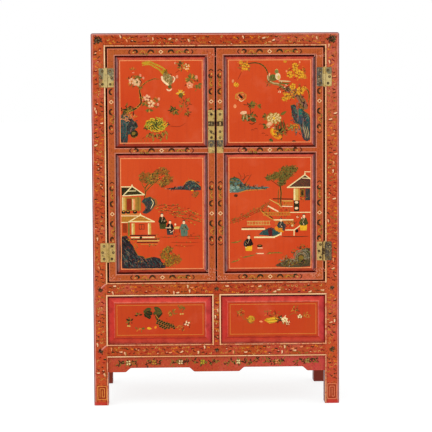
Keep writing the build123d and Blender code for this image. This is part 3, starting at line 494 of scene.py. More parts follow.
class Painting:
    """Raised strokes of paint on one upright face, each a low closed slab in its own colour.

    left and top place its corner, and wide and tall are the sizes of its units."""

    def __init__(self, name, left, top, wide, tall, face):
        self.name, self.face = name, face
        self.left, self.top, self.wide, self.tall = left, top, wide, tall
        self.lifts = {}
        self.vertices, self.faces, self.colours = [], [], []
        self.chance = random.Random(name)

    def pick(self, options):
        return self.chance.choice(options)

    def some(self, least, most):
        return self.chance.uniform(least, most)

    def stray(self, most):
        return self.some(-most, most)

    def any_angle(self):
        return self.some(0, 360)

    def next_lift(self, rim):
        """How far the next stroke stands out, with its rim as given: one coat above what is there."""
        columns, rows = [
            range(int(min(values) * size // CELL), int(max(values) * size // CELL) + 1)
            for values, size in zip(zip(*rim), (self.wide, self.tall))
        ]
        cells = [(i, j) for i in columns for j in rows]
        lift = max(self.lifts.get(cell, PAINT) for cell in cells) + COAT
        self.lifts.update(dict.fromkeys(cells, lift))
        return lift

    def slab(self, rim, colour):
        first = len(self.vertices)
        count = len(rim)
        for lift in (self.next_lift(rim), -SUNK):
            for u, v in rim:
                self.vertices.append((self.left + u * self.wide, self.face - lift,
                                      self.top - v * self.tall))
        self.faces.append([first + i for i in range(count)])
        self.faces.append([first + count + i for i in reversed(range(count))])
        for i in range(count):
            j = (i + 1) % count
            self.faces.append([first + i, first + count + i, first + count + j, first + j])
        self.colours += [colour] * (2 * count)

    def block(self, left, top, right, bottom, colour):
        self.slab([(left, top), (right, top), (right, bottom), (left, bottom)], colour)

    def blob(self, u, v, across, up, colour, turn=0, wobble=0.0, sides=10):
        """An oval patch; wobble is the share by which its rim wanders."""
        rim = []
        for i in range(sides):
            angle = 2 * math.pi * i / sides
            size = 1 + wobble * self.stray(1)
            du, dv = polar(0, 0, math.hypot(across * size * math.cos(angle), up * size * math.sin(angle)),
                           math.degrees(math.atan2(up * math.sin(angle), across * math.cos(angle))) + turn)
            rim.append((u + du, v + dv))
        self.slab(rim, colour)

    def stroke(self, points, width, colour, start=0.35, end=0.2):
        """A brush stroke along a smooth curve; start and end are the shares of its width there."""
        path = smooth(points)
        last = len(path) - 1
        left, right = [], []
        for i, (u, v) in enumerate(path):
            before = path[max(i - 1, 0)]
            after = path[min(i + 1, last)]
            du, dv = after[0] - before[0], after[1] - before[1]
            length = math.hypot(du, dv) or 1.0
            share = i / last
            half = width / 2 * min(1, start + 3 * share, end + 3 * (1 - share))
            left.append((u - dv / length * half, v + du / length * half))
            right.append((u + dv / length * half, v - du / length * half))
        self.slab(left + right[::-1], colour)

    def line(self, points, width, colour):
        """Straight ruled lines of one width, with square ends."""
        for (u, v), (x, y) in zip(points, points[1:]):
            length = math.hypot(x - u, y - v)
            du, dv = (x - u) / length * width / 2, (y - v) / length * width / 2
            self.slab([(u - du + dv, v - dv - du), (x + du + dv, y + dv - du),
                       (x + du - dv, y + dv + du), (u - du - dv, v - dv + du)], colour)

    def level(self, left, right, v, width, colour):
        self.line([(left, v), (right, v)], width, colour)

    def upright(self, u, top, bottom, width, colour):
        self.line([(u, top), (u, bottom)], width, colour)

    def frame(self, left, top, right, bottom, width, colour):
        self.line([(left, top), (right, top), (right, bottom), (left, bottom), (left, top)], width, colour)

    def leaf(self, u, v, length, width, angle, colour, vein=None, bend=0.0):
        """A pointed leaf that grows from (u, v); bend curves it to its left, as a share of its length."""
        middle, left, right = [], [], []
        for share in (0, 0.2, 0.45, 0.7, 0.88, 1):
            side = bend * length * math.sin(math.pi * share)
            half = width / 2 * math.sin(math.pi * share**0.8)
            at = polar(u, v, share * length, angle)
            middle.append(polar(*at, side, angle + 90))
            left.append(polar(*at, side + half, angle + 90))
            right.append(polar(*at, side - half, angle + 90))
        self.slab(left + right[-2:0:-1], colour)
        if vein:
            self.stroke(middle[:-1], width * 0.22, vein)

    def finish(self, body, material):
        piece = mesh_piece(self.name, self.vertices, self.faces, body, material)
        attribute = piece.data.color_attributes.new("Paint", "FLOAT_COLOR", "POINT")
        attribute.data.foreach_set("color", [part for colour in self.colours for part in colour])


# ---------------------------------------------------------------- flowers, leaves and branches
def touches(p, u, v, across, up, count, tones, length=3, width=0.8):
    """Short loose strokes scattered over an oval."""
    for _ in range(count):
        du, dv = polar(0, 0, math.sqrt(p.chance.random()), p.any_angle())
        root = (u + du * across, v + dv * up)
        angle = p.any_angle()
        bend = polar(*polar(*root, length / 2, angle), length * 0.18, angle + 90)
        p.stroke([root, bend, polar(*root, length, angle)], width, p.pick(tones))


def blossom(p, u, v, size, petal, heart, rim=None, petals=5, turn=90):
    """Petals loosely filled round a heart, with touches of their rim and of the twig beneath."""
    touches(p, u, v, size * 1.2, size * 1.1, 8, (rim or BARK, BARK, OLIVE), size * 0.6, size * 0.2)
    for k in range(petals):
        angle = turn + 360 * k / petals + p.stray(12)
        at = polar(u, v, size * p.some(0.5, 0.68), angle)
        if rim:
            p.blob(*at, size * 0.46, size * 0.4, rim, turn=angle, wobble=0.3)
        p.blob(*at, size * 0.36, size * 0.28, petal, turn=angle, wobble=0.35)
    p.blob(u, v, size * 0.24, size * 0.2, heart, wobble=0.3)
    touches(p, u, v, size * 0.8, size * 0.7, 5, (rim or RUST, heart, RUST), size * 0.4, size * 0.14)


def ring_blossom(p, u, v, size, petal, heart):
    """An open blossom of round petals, each outlined in the heart's colour and partly filled."""
    touches(p, u, v, size * 1.1, size, 7, (RUST, heart, OLIVE), size * 0.6, size * 0.18)
    for k in range(7):
        at = polar(u, v, size * p.some(0.6, 0.78), 360 * k / 7 + p.stray(15))
        p.blob(*at, size * 0.34, size * 0.3, heart, wobble=0.3, sides=8)
        p.blob(*at, size * 0.22, size * 0.17, petal, turn=45 * k, wobble=0.4, sides=7)
    p.blob(u, v, size * 0.3, size * 0.26, petal, wobble=0.3)
    touches(p, u, v, size * 0.5, size * 0.5, 5, (RUST, heart, BARK), size * 0.4, size * 0.16)


def bud(p, u, v, size, colour, calyx=OLIVE):
    p.leaf(*polar(u, v, size * 1.1, 270), size * 1.6, size * 1.2, 90, calyx)
    p.blob(u, v, size, size * 0.75, colour, turn=90, wobble=0.12)


def peony(p, u, v, across, up, petal, rim, heart):
    """Three rounds of lobed petals, each with a darker rim, over a heart."""
    touches(p, u, v, across * 1.15, up * 1.15, 16, (OLIVE, MOSS, rim), 2.6)
    for ring, lobes, share in ((0, 9, 0.74), (1, 7, 0.45), (2, 4, 0.2)):
        for k in range(lobes):
            angle = math.radians(360 * k / lobes + 25 * ring + p.stray(9))
            at = (u + across * share * math.cos(angle), v + up * share * math.sin(angle))
            size = (across + up) / 2 * (0.34 - 0.05 * ring)
            p.blob(*at, size, size * 0.9, rim, wobble=0.25)
            p.blob(*at, size * 0.72, size * 0.56, petal, turn=math.degrees(-angle), wobble=0.35)
    touches(p, u, v, across * 0.8, up * 0.8, 12, (rim, OLIVE, petal), 2.2, 0.5)
    p.blob(u, v, across * 0.16, up * 0.2, heart, turn=-40, wobble=0.2)


def chrysanthemum(p, u, v, across, up, petals, gap):
    """Rounds of narrow petals that curl one way, with dark gaps between them."""
    p.blob(u, v, across * 0.84, up * 0.84, gap, wobble=0.12, sides=18)
    for ring, count, reach in ((0, 19, 1.04), (1, 14, 0.78), (2, 9, 0.5), (3, 5, 0.26)):
        for k in range(count):
            angle = 360 * (k + 0.5 * (ring % 2)) / count + p.stray(7)
            tip = polar(0, 0, reach * p.some(0.9, 1.08), angle)
            side = polar(0, 0, reach * 0.84, angle - 18)
            root = polar(0, 0, reach * 0.62, angle - 24)
            spots = [(u + across * x, v + up * y) for x, y in (root, side, tip)]
            p.stroke(spots, across * 0.075, p.pick(petals), start=0.5, end=0.8)
    touches(p, u, v, across * 0.8, up * 0.8, 14, (gap, PINE), 1.8, 0.5)


def branch(p, points, width, bark=INK, light=OCHRE, knots=0):
    p.stroke(points, width * 1.5, light, start=0.6, end=0.3)
    p.stroke(points, width, bark, start=0.7, end=0.25)
    for _ in range(knots):
        u, v = p.pick(smooth(points))
        p.blob(u + p.stray(1) * width, v + p.stray(1) * width, width * 0.5,
               width * 0.4, light, wobble=0.3, sides=7)


def spray(p, u, v, count, length, colours, first, last, width=0.42):
    """Leaves that fan out of one point between two angles."""
    for k in range(count):
        angle = first + (last - first) * (k + 0.5) / count + p.stray(9)
        size = length * p.some(0.8, 1.15)
        root = polar(u, v, length * 0.15, angle)
        p.leaf(*root, size, size * width, angle, colours[k % len(colours)],
               bend=p.stray(0.12))


def lobed_leaf(p, u, v, size, angle, colour, vein):
    for turn, share in ((-62, 0.75), (62, 0.75), (0, 1.0)):
        p.leaf(u, v, size * share, size * 0.48, angle + turn, colour, vein=vein)


def foliage(p, clumps, count, tones, size, under=None):
    """Small leaves stippled over oval clumps, thinner towards their rims, over an under-colour."""
    for u, v, across, up in clumps:
        if under:
            p.blob(u, v, across * 0.88, up * 0.86, under, wobble=0.28, sides=16)
    for u, v, across, up in clumps:
        for _ in range(count):
            angle = p.any_angle()
            reach = math.sqrt(p.some(0, 1.12))
            du, dv = polar(0, 0, reach, angle)
            p.leaf(u + du * across, v + dv * up, size * p.some(0.8, 1.6), size * 0.8,
                   p.any_angle(), p.pick(tones))


def grass(p, left, right, v, count, height, colour):
    for k in range(count):
        u = left + (right - left) * k / max(count - 1, 1)
        tip = polar(u, v, height * p.some(0.6, 1.1), 90 + p.stray(35))
        p.stroke([(u, v), tip], height * 0.16, colour)


# ---------------------------------------------------------------- rocks, hills and ground
def rock(p, outline, fill, streaks, tones, lean, width=0.9):
    """A scholar's rock: a filled outline under short strokes that lean one way, with pale edges."""
    p.slab(smooth([*outline, outline[0]], steps=2)[:-1], fill)
    left = min(u for u, v in outline)
    right = max(u for u, v in outline)
    top = min(v for u, v in outline)
    bottom = max(v for u, v in outline)
    placed = 0
    while placed < streaks:
        u, v = p.some(left, right), p.some(top, bottom)
        length = p.some(2.5, 7)
        angle = lean + p.stray(22)
        tip = polar(u, v, length, angle)
        if inside(outline, u, v) and inside(outline, *tip):
            middle = polar(*polar(u, v, length / 2, angle), length * 0.15, angle + 90)
            p.stroke([(u, v), middle, tip], width * p.some(0.6, 1.1), p.pick(tones))
            placed += 1
    for a, b in zip(outline, outline[1:]):
        if a[1] < bottom - 2 and b[1] < bottom - 2:
            middle = ((a[0] + b[0]) / 2 + p.stray(0.5), (a[1] + b[1]) / 2)
            p.stroke([a, middle, b], 0.7, p.pick((OLIVE, OLIVE, fill)))


def inside(outline, u, v):
    """Whether a point lies inside a closed outline."""
    found = False
    for (a, b), (c, d) in zip(outline, [*outline[1:], outline[0]]):
        if (b > v) != (d > v) and u < a + (v - b) / (d - b) * (c - a):
            found = not found
    return found


def contour(p, points, width, colour=OLIVE, dashes=0):
    """A line of low ground, with short dashes of growth along it."""
    p.stroke(points, width, colour)
    for _ in range(dashes):
        u, v = p.pick(smooth(points))
        p.blob(u + p.stray(1.5), v + p.some(-1.2, 0.6), 0.9, 0.45,
               p.pick((OLIVE, OCHRE, MOSS)), wobble=0.3, sides=7)


# ---------------------------------------------------------------- buildings and people
def hipped_roof(p, apex, left_eave, right_eave, fill):
    """A roof seen from the front: a dark triangle with pale ridges, and a finial."""
    p.slab([apex, right_eave, left_eave], fill)
    for k in range(1, 8):
        share = k / 8
        foot = (left_eave[0] + (right_eave[0] - left_eave[0]) * share,
                left_eave[1] + (right_eave[1] - left_eave[1]) * share)
        p.stroke([(apex[0] * 0.7 + foot[0] * 0.3, apex[1] * 0.7 + foot[1] * 0.3), foot], 0.5, OLIVE)
    p.stroke([apex, left_eave], 1.3, IVORY, start=1, end=1)
    p.stroke([apex, right_eave], 1.3, IVORY, start=1, end=1)
    p.line([left_eave, right_eave], 1.3, IVORY)
    p.leaf(apex[0], apex[1] + 1, 3.6, 1.8, 90, IVORY)


def column(p, u, top, bottom, width, colour=STRAW):
    """An upright with a light edge on its left and a darker one on its right."""
    for start, end, tone in ((-0.5, 0.5, colour), (-0.44, -0.2, IVORY), (0.28, 0.46, OCHRE)):
        left, right = u + start * width, u + end * width
        p.block(left, top, right, bottom, tone)


def balustrade(p, start, end, height, posts, colour=OCHRE, width=0.7):
    """Two rails with uprights between them, from one lower corner to the other."""
    for share in (0, 1):
        p.line([(start[0], start[1] - height * share), (end[0], end[1] - height * share)], width, colour)
    for k in range(posts):
        share = (k + 0.5) / posts
        u = start[0] + (end[0] - start[0]) * share
        v = start[1] + (end[1] - start[1]) * share
        p.line([(u, v), (u, v - height)], width * 0.8, p.pick((colour, OCHRE, colour)))


def person(p, u, v, height, robe, skirt, sash=CREAM, lean=0.0):
    """A small robed figure with a blank oval face and a topknot; (u, v) is between its feet."""
    wide = height * 0.4
    head, crown = u + lean * height, v - height
    shoulder = crown + height * 0.24

    def at(across, up):
        return (u + across * wide, v - up * height)

    p.slab([(head - wide * 0.3, shoulder), (head + wide * 0.3, shoulder), at(0.55, 0.28), at(0.5, 0),
            at(-0.5, 0), at(-0.6, 0.3)], skirt)
    p.slab([(head - wide * 0.38, shoulder), (head + wide * 0.38, shoulder), at(0.75, 0.42), at(0.3, 0.3),
            at(-0.4, 0.3), at(-0.75, 0.45)], robe)
    p.stroke([(head + wide * 0.1, shoulder + 0.2), at(-0.2, 0.45)], height * 0.06, sash)
    touches(p, *at(0, 0.4), wide * 0.5, height * 0.3, 6, (sash, INK, OLIVE), height * 0.14, height * 0.035)
    p.blob(head, crown + height * 0.06, height * 0.09, height * 0.07, INK)
    p.blob(head, crown + height * 0.15, height * 0.085, height * 0.105, CREAM)


# ---------------------------------------------------------------- upper left door: pheasant
def pheasant(p):
    """A long-tailed bird that flies down to the right."""
    for points, width in (([(27, 2), (36, 1.6), (42, 4.2), (49, 7.2), (54.6, 11.4), (57, 17)], 2.4),
                          ([(27, 6), (36, 4.6), (42, 7.6), (48, 11), (53, 17)], 2.2)):
        p.stroke(points, width, rgb(196, 140, 32), start=0.3, end=1)
        p.stroke(points, width * 0.36, rgb(228, 180, 66), start=0.3, end=1)
        p.stroke(points, width * 0.12, BARK, start=0.3, end=1)
    p.blob(31, 3.2, 4.6, 1.3, rgb(200, 156, 38), turn=6, wobble=0.2)
    p.blob(54.5, 14.5, 3.4, 4.2, GOLD, turn=35, wobble=0.05)
    p.blob(58.2, 22, 5.6, 8.2, rgb(150, 126, 76), turn=28, wobble=0.08, sides=16)
    touches(p, 58, 21.6, 5, 7, 44, (OLIVE, MOSS, BUFF, rgb(184, 150, 90), BARK), 2.6)
    touches(p, 55, 13, 3.6, 4, 10, (OLIVE, GOLD, BARK), 2.4)
    touches(p, 66.4, 21, 3, 4, 12, (rgb(160, 120, 90), OLIVE, SALMON), 2.6, 0.9)
    p.stroke([(64, 18.5), (66.4, 22), (64, 27.4)], 1.3, CREAM)
    p.stroke([(51, 18.6), (51.6, 22.8), (55, 26.6), (59.6, 30)], 2.3, CREAM, start=0.7, end=0.5)
    p.blob(60.6, 31.6, 2.4, 2.2, MOSS)
    p.stroke([(56.6, 34.2), (59.6, 36.2), (63.4, 33.8)], 1.7, CREAM)


def plum_branch_left(p):
    branch(p, [(7.4, 62.4), (12, 60.6), (18.7, 57.6), (23.6, 53.4), (25.7, 50), (25, 42.4), (24, 35.5),
               (27.8, 29.3)], 1.7, knots=14)
    branch(p, [(27.5, 30), (32, 26), (36.3, 23.8), (41.9, 22), (48.5, 22.6)], 0.9, bark=BARK, knots=6)
    branch(p, [(25.4, 43), (28, 44.6), (31, 45.5)], 1.1, knots=4)
    touches(p, 18, 24, 9, 6.6, 26, TWIGS)
    touches(p, 38, 51, 10, 8, 40, TWIGS)
    touches(p, 10, 59, 9, 6, 36, (OLIVE, BARK, MOSS, PINE), 3.2, 1.0)
    spray(p, 22, 21.5, 6, 4.6, GREENS, -60, 200)
    spray(p, 25, 30.5, 4, 4.2, GREENS, 180, 330)
    blossom(p, 14.6, 24.6, 3.9, BLUSH, OCHRE, PINK)
    blossom(p, 21, 26.2, 4.5, BLUSH, MOSS, BUFF)
    bud(p, 25, 17.8, 1.8, PINK)
    bud(p, 28.6, 20.9, 1.7, PINK)
    spray(p, 16, 11.5, 5, 4.4, (OLIVE, OCHRE), 20, 165, width=0.22)
    p.blob(16.4, 14.4, 1.4, 0.7, PINK)
    spray(p, 31, 51, 4, 4.8, GREENS, 170, 330)
    spray(p, 35.6, 57.6, 5, 5, GROWTH, 190, 350)
    spray(p, 42.8, 48.6, 4, 4, GREENS, -40, 120)
    blossom(p, 32.6, 44.8, 4.2, BLUSH, RUST, PINK)
    blossom(p, 37.9, 52, 4.6, rgb(240, 202, 150), RUST, SALMON)
    bud(p, 47.2, 46.2, 2, PINK)
    bud(p, 46, 52.8, 1.8, PINK)


def blossoms_top_right(p):
    p.stroke([(67, 15.5), (72, 12), (76, 8.6)], 0.6, RUST)
    spray(p, 75, 6, 7, 5, (OLIVE, MOSS, BARK), 60, 230)
    ring_blossom(p, 81.2, 7.6, 4.4, CREAM, AMBER)
    bud(p, 67, 3.2, 1.5, PINK)
    bud(p, 69.4, 19.6, 2.1, PINK)
    touches(p, 87, 23, 8, 5.6, 34, (OLIVE, MOSS, OCHRE, BARK), 3, 0.9)
    touches(p, 74, 6.6, 6, 5, 22, (OLIVE, BARK, OCHRE), 2.8)
    touches(p, 94.5, 31.6, 4, 5, 14, (OLIVE, MOSS, SALMON), 2.6)
    spray(p, 86.5, 22.5, 8, 6, GROWTH, 10, 230)
    bud(p, 92.8, 20.2, 2.3, PINK)
    blossom(p, 84.6, 29.8, 4.2, PINK, CREAM, SALMON)
    spray(p, 94, 29, 6, 5, GREENS, -160, 20)


def chrysanthemums_left(p):
    spray(p, 73.6, 40.4, 7, 5.4, (YELLOW, STRAW), -10, 190, width=0.36)
    spray(p, 74, 41, 5, 4.2, (LEAF, MOSS), 200, 340)
    p.blob(74, 40.8, 2.4, 1.9, MOSS, wobble=0.1)
    p.stroke([(75, 43.5), (77, 50), (76, 58), (70, 66)], 0.55, OLIVE)
    lobed_leaf(p, 82, 48.6, 4.6, 60, OLIVE, OCHRE)
    lobed_leaf(p, 73.8, 53.6, 3.8, 250, OLIVE, OCHRE)
    lobed_leaf(p, 64.6, 60, 7, 120, PINE, OLIVE)
    lobed_leaf(p, 66, 61, 7, 320, LEAF, OCHRE)
    lobed_leaf(p, 80.6, 62.6, 6, 300, LEAF, OCHRE)
    touches(p, 65, 60.6, 6, 5, 20, (PINE, OLIVE, LEAF), 2.6, 0.9)
    touches(p, 81.6, 63, 4.6, 4, 14, (PINE, OLIVE, RUST), 2.4)
    touches(p, 79, 52, 6, 7, 24, (OLIVE, BARK, LEAF), 2.6, 0.7)
    touches(p, 45, 89, 11, 5, 44, (OLIVE, LEAF, MOSS, PINE), 3.4, 0.9)
    for u, v, length, angle in ((34, 88, 6, 240), (40, 87, 8, 262), (44, 87, 8, 280), (50, 86, 8, 292),
                                (54, 84, 8, 305), (41, 93, 5, 250), (56, 90, 6, 275), (50, 93, 5, 250)):
        p.leaf(u, v, length, 2.6, angle, OLIVE, vein=OCHRE)
    lobed_leaf(p, 32.4, 80.4, 5, 200, PINE, OLIVE)
    lobed_leaf(p, 56.6, 76.4, 4.4, 350, PINE, MAUVE)
    chrysanthemum(p, 43.4, 77, 13.4, 8.6, (LIME, rgb(206, 184, 62), rgb(186, 168, 48), YELLOW), LEAF)
    p.stroke([(59, 78.4), (66, 79.4), (73, 79), (80, 74.8)], 0.6, RUST)
    grass(p, 25, 34, 97.5, 6, 6, OLIVE)
    p.stroke([(26.4, 94), (30.6, 91.2)], 1.2, BARK)


def garden_rock_left(p):
    spray(p, 10, 61.5, 7, 6, (MOSS, PINE, OLIVE), 20, 210, width=0.5)
    rock(p, [(0.8, 66.6), (3.9, 63.1), (8.1, 65.9), (13, 70), (16.5, 72), (20, 74.8), (21.5, 79.7),
             (18, 82.4), (13.7, 84.5), (12.3, 88.6), (9.5, 89), (8.8, 98.4), (0.8, 98.4)],
         SLATE, 34, (TEAL, INK, MAUVE, JADE, SLATE), 80)
    p.blob(4, 84, 3, 11, TEAL, wobble=0.2)
    touches(p, 5, 82, 4, 13, 34, (SLATE, INK, TEAL, rgb(64, 92, 86)), 3.4)
    touches(p, 14, 76, 6, 6, 34, (INK, SLATE, PINE, rgb(104, 104, 92)))
    p.stroke([(6.5, 70), (7.4, 80), (6.6, 96)], 0.6, JADE)
    touches(p, 8, 68, 7, 4, 30, (MAUVE, SALMON, OLIVE, rgb(150, 124, 104)), 2.8)
    touches(p, 15, 66.5, 6, 3.6, 22, (OCHRE, OLIVE, SALMON), 2.2, 0.6)
    p.blob(16.6, 88, 4.8, 4.6, PINE, wobble=0.14)
    p.blob(16.2, 87.4, 2.4, 2.2, OLIVE, wobble=0.14)
    p.stroke([(13, 91.5), (17, 92.6), (21, 90)], 0.8, OLIVE)
    grass(p, 9, 24, 98.2, 8, 4, OLIVE)


def draw_upper_left(p):
    garden_rock_left(p)
    plum_branch_left(p)
    pheasant(p)
    blossoms_top_right(p)
    chrysanthemums_left(p)


# ---------------------------------------------------------------- upper right door: green bird
def old_tree_right(p):
    branch(p, [(23.4, 4.4), (32.7, 3.4), (40.4, 5.6), (45, 10), (47.4, 15), (48.4, 19.5)], 1.0,
           bark=PINE, light=OLIVE, knots=10)
    p.stroke([(48, 19), (49, 24), (54.4, 28), (60.4, 29.4), (66, 33), (73, 38)], 3.2,
             rgb(146, 112, 64), start=0.8, end=0.8)
    p.stroke([(47.6, 18.4), (48.4, 23.8), (54, 27.6), (60, 28.4), (66, 31.4)], 0.9, BUFF, start=1)
    branch(p, [(70, 34), (75.9, 35.4), (80.9, 38), (85, 43.6), (89, 49.3), (91, 57)], 4.4,
           bark=rgb(126, 84, 60), light=BARK)
    taupe = rgb(140, 98, 68)
    p.stroke([(74, 34), (80, 38), (86, 44.6), (91, 52), (93, 60)], 7.4, taupe, start=0.6, end=0.8)
    touches(p, 80, 40, 7, 5, 36, (BARK, MAUVE, OLIVE, INK, taupe), 3.6, 0.9)
    touches(p, 90, 52, 6, 8, 44, (BARK, MAUVE, OLIVE, INK, taupe), 3.6, 0.9)
    touches(p, 66, 33, 8, 4.6, 26, (OLIVE, BARK, CREAM, PINE))
    touches(p, 50, 27, 4, 4, 14, (OLIVE, BARK), 3.4, 0.6)
    p.stroke([(80, 37), (85.4, 43.4), (89.4, 52)], 1.2, INK)
    branch(p, [(90, 34.6), (95.2, 35.2), (98, 42), (97.2, 52)], 1.1, bark=PINE, knots=6)
    for u, v in ((47, 27.4), (46.4, 30.4), (50, 31), (81, 36.6), (91.5, 32), (70.5, 33.4)):
        p.stroke([(u, v), polar(u, v, 3, 35)], 0.9, PINE)


def green_bird(p):
    """A small bird that sits on the bough, its tail to the right."""
    p.stroke([(61, 25), (68, 25.6), (75.6, 26)], 1.6, BUFF, start=1)
    p.stroke([(62, 27.4), (68, 28.4), (74.6, 28.4)], 1.9, MOSS, start=1)
    p.stroke([(50.4, 15.5), (49.4, 18.5), (51, 22)], 1.4, BLUSH)
    p.blob(54.4, 21.2, 5, 4, rgb(104, 106, 50), turn=-20, wobble=0.05)
    for k in range(5):
        p.leaf(51.5 + 1.4 * k, 19.6 + 0.5 * k, 3.2, 1.3, -60, LEAVES[k % 2])
    p.blob(60, 19.8, 3.2, 4.4, rgb(238, 206, 156), turn=8, sides=14)
    p.blob(61, 21, 1.6, 2.6, STRAW)
    p.blob(58.4, 13.9, 2.5, 2.6, rgb(126, 126, 68))
    p.stroke([(56.6, 12.6), (58.6, 11), (60.6, 12.8)], 0.8, STRAW)


def yellow_blossoms(p):
    gilt = rgb(214, 140, 42)
    for patch in ((83, 14, 11, 9, 60), (84, 38, 8, 8, 40), (72, 44, 6, 6, 26), (19, 7, 6, 6, 22)):
        touches(p, *patch, (gilt, RUST, OLIVE, AMBER), 3, 0.9)
    for flower in ((20.4, 7.6, 5.2), (15, 2.6, 2.6), (9.4, 29.4, 3.4), (81, 7, 3.8), (86.4, 17.6, 5.6),
                   (75, 17.6, 4.4), (92, 20, 3), (82, 12.6, 3.4), (78, 32, 4), (87, 37.6, 5),
                   (91.6, 34.4, 3), (71.8, 44, 4.6), (67, 47, 2.6), (69, 1.8, 2)):
        ring_blossom(p, *flower, YELLOW, gilt)
    bud(p, 5.4, 25.2, 2, SALMON)
    p.stroke([(16, 14), (14, 18), (11, 24)], 0.7, RUST)
    bud(p, 86.5, 2.8, 1.4, SALMON)
    bud(p, 70.6, 13.6, 1.4, SALMON)


def peonies_right(p):
    spray(p, 26, 55, 6, 6, GREENS, -30, 60)
    spray(p, 35, 55.4, 4, 5, GREENS, -40, 50)
    p.blob(15, 43.6, 7.4, 5.6, OCHRE, wobble=0.12, sides=14)
    p.blob(15, 43.8, 6.2, 4.5, rgb(204, 98, 50), wobble=0.12, sides=14)
    touches(p, 15, 43.6, 6, 4.6, 16, (OLIVE, SALMON, RUST, OCHRE), 2.8, 0.7)
    p.stroke([(12.4, 41.4), (14.8, 43.6), (17, 46)], 2.6, INK, start=0.6, end=0.5)
    p.stroke([(12.4, 47), (15.4, 49.6), (19, 47.4)], 0.8, CREAM)
    touches(p, 24, 68, 10, 6, 44, (PINE, LEAF, OLIVE, MOSS), 3.6, 1.0)
    touches(p, 29, 54.6, 9, 3, 24, (OLIVE, MOSS, BARK), 3.4, 0.9)
    touches(p, 54, 80, 10, 5, 20, (OLIVE, CREAM, RUST), 2.6, 0.7)
    touches(p, 63, 84, 7, 11, 60, (OLIVE, PINE, BARK, MOSS), 3.6, 0.9)
    touches(p, 76, 81, 7, 4, 26, GROWTH, 3, 0.9)
    bud(p, 7.8, 55.4, 2.4, SALMON, calyx=OCHRE)
    for u, v, length, angle in ((19, 66, 8, 255), (22, 65.5, 9, 275), (26, 66, 8.6, 290), (29, 68.4, 8, 305)):
        p.leaf(u, v, length, 3.4, angle, MOSS, vein=BUFF)
    p.blob(29.8, 71.6, 3.6, 3, LEAF, wobble=0.2)
    p.stroke([(25, 76), (29, 77), (33.6, 74)], 0.9, PINE)
    p.blob(18.2, 63.4, 4.2, 2.2, BLUSH, turn=12, wobble=0.14)
    p.stroke([(26, 58), (27, 64), (26, 70)], 0.7, BARK)
    p.leaf(63, 66.4, 9, 3.6, 32, MOSS, vein=OLIVE)
    spray(p, 46.4, 68, 4, 6, LEAVES, 130, 240)
    spray(p, 46, 78.4, 4, 5, LEAVES, 150, 280)
    for u, v, length, angle in ((63, 72, 12, 275), (66, 73, 12, 284), (60, 78, 9, 265)):
        p.leaf(u, v, length, 3.4, angle, BARK, vein=OLIVE)
    peony(p, 55.2, 70, 9.2, 6.6, rgb(234, 198, 132), rgb(172, 124, 50), YELLOW)
    p.blob(49.6, 77.2, 4.2, 2.8, rgb(224, 160, 102), turn=25, wobble=0.1)
    p.blob(49.6, 76.8, 3, 1.8, BLUSH, turn=25, wobble=0.1)
    p.stroke([(54, 82), (52.4, 86), (55, 90.4), (60, 93.6), (64.4, 91.6)], 4.4, AMBER, start=0.6, end=0.6)
    p.stroke([(53.6, 83), (53, 87), (57, 91.4), (62, 92.6)], 2.0, YELLOW, start=0.6, end=0.6)
    touches(p, 57, 88.6, 6, 5, 18, (YELLOW, RUST, AMBER, OLIVE), 2.6, 0.9)
    spray(p, 60, 87, 5, 6.4, (PINE, OLIVE), -40, 70)
    spray(p, 54, 95.4, 4, 4.6, (MOSS, LEAF), 160, 260)
    blossom(p, 81.8, 80, 3.2, AMBER, RUST, OLIVE)
    lobed_leaf(p, 77.6, 81, 5, 200, MOSS, STRAW)
    for u, v in ((27, 84.4), (31, 83), (40, 88.6), (44, 91), (36.6, 77.6)):
        p.stroke([(u, v), (u + 2, v - 0.8), (u + 4.4, v + 0.2)], 0.8, RUST)


def garden_rock_right(p):
    rock(p, [(75.2, 55), (79.5, 53.6), (82.4, 56.4), (83.1, 62.1), (89.6, 57.9), (92.4, 62.1),
             (96.8, 65), (99, 69.3), (99.2, 96), (91, 96), (88.1, 86.4), (86, 77.9), (81.7, 75.7),
             (78.1, 69.3), (76.6, 62.1)],
         SLATE, 46, (TEAL, INK, MAUVE, JADE, INK), 75)
    touches(p, 84, 72, 8, 17, 60, (rgb(44, 60, 62), TEAL, SLATE, rgb(150, 128, 96), JADE), 3.4)
    p.blob(87, 63.4, 2.6, 5.4, rgb(44, 108, 90), wobble=0.2)
    p.blob(87.4, 72, 3, 5.4, rgb(50, 76, 86), wobble=0.08)
    p.blob(96.6, 76, 2.2, 9, TEAL, wobble=0.06)
    for k in range(3):
        p.stroke([(77 + 1.2 * k, 56.6 + 2.2 * k), (80.6, 57.4 + 2 * k), (82.6, 59.6 + 2.2 * k)], 0.7, JADE)
        p.stroke([(92 + 1.4 * k, 66 + 2.4 * k), (94.6 + k, 65 + 2 * k), (97.6, 68 + 2.6 * k)], 0.7, JADE)
    p.stroke([(84, 58), (84.6, 68), (83.4, 75)], 1.1, rgb(126, 104, 90))
    p.stroke([(91, 70), (90.4, 80), (92.6, 92)], 1.2, rgb(126, 104, 90))
    for k in range(3):
        p.stroke([(90.6 + 2.4 * k, 80), (93 + 2 * k, 88), (94 + 2 * k, 95)], 0.6, BUFF)
    p.blob(79.4, 98, 2.4, 1, INK)


def draw_upper_right(p):
    old_tree_right(p)
    garden_rock_right(p)
    yellow_blossoms(p)
    green_bird(p)
    peonies_right(p)


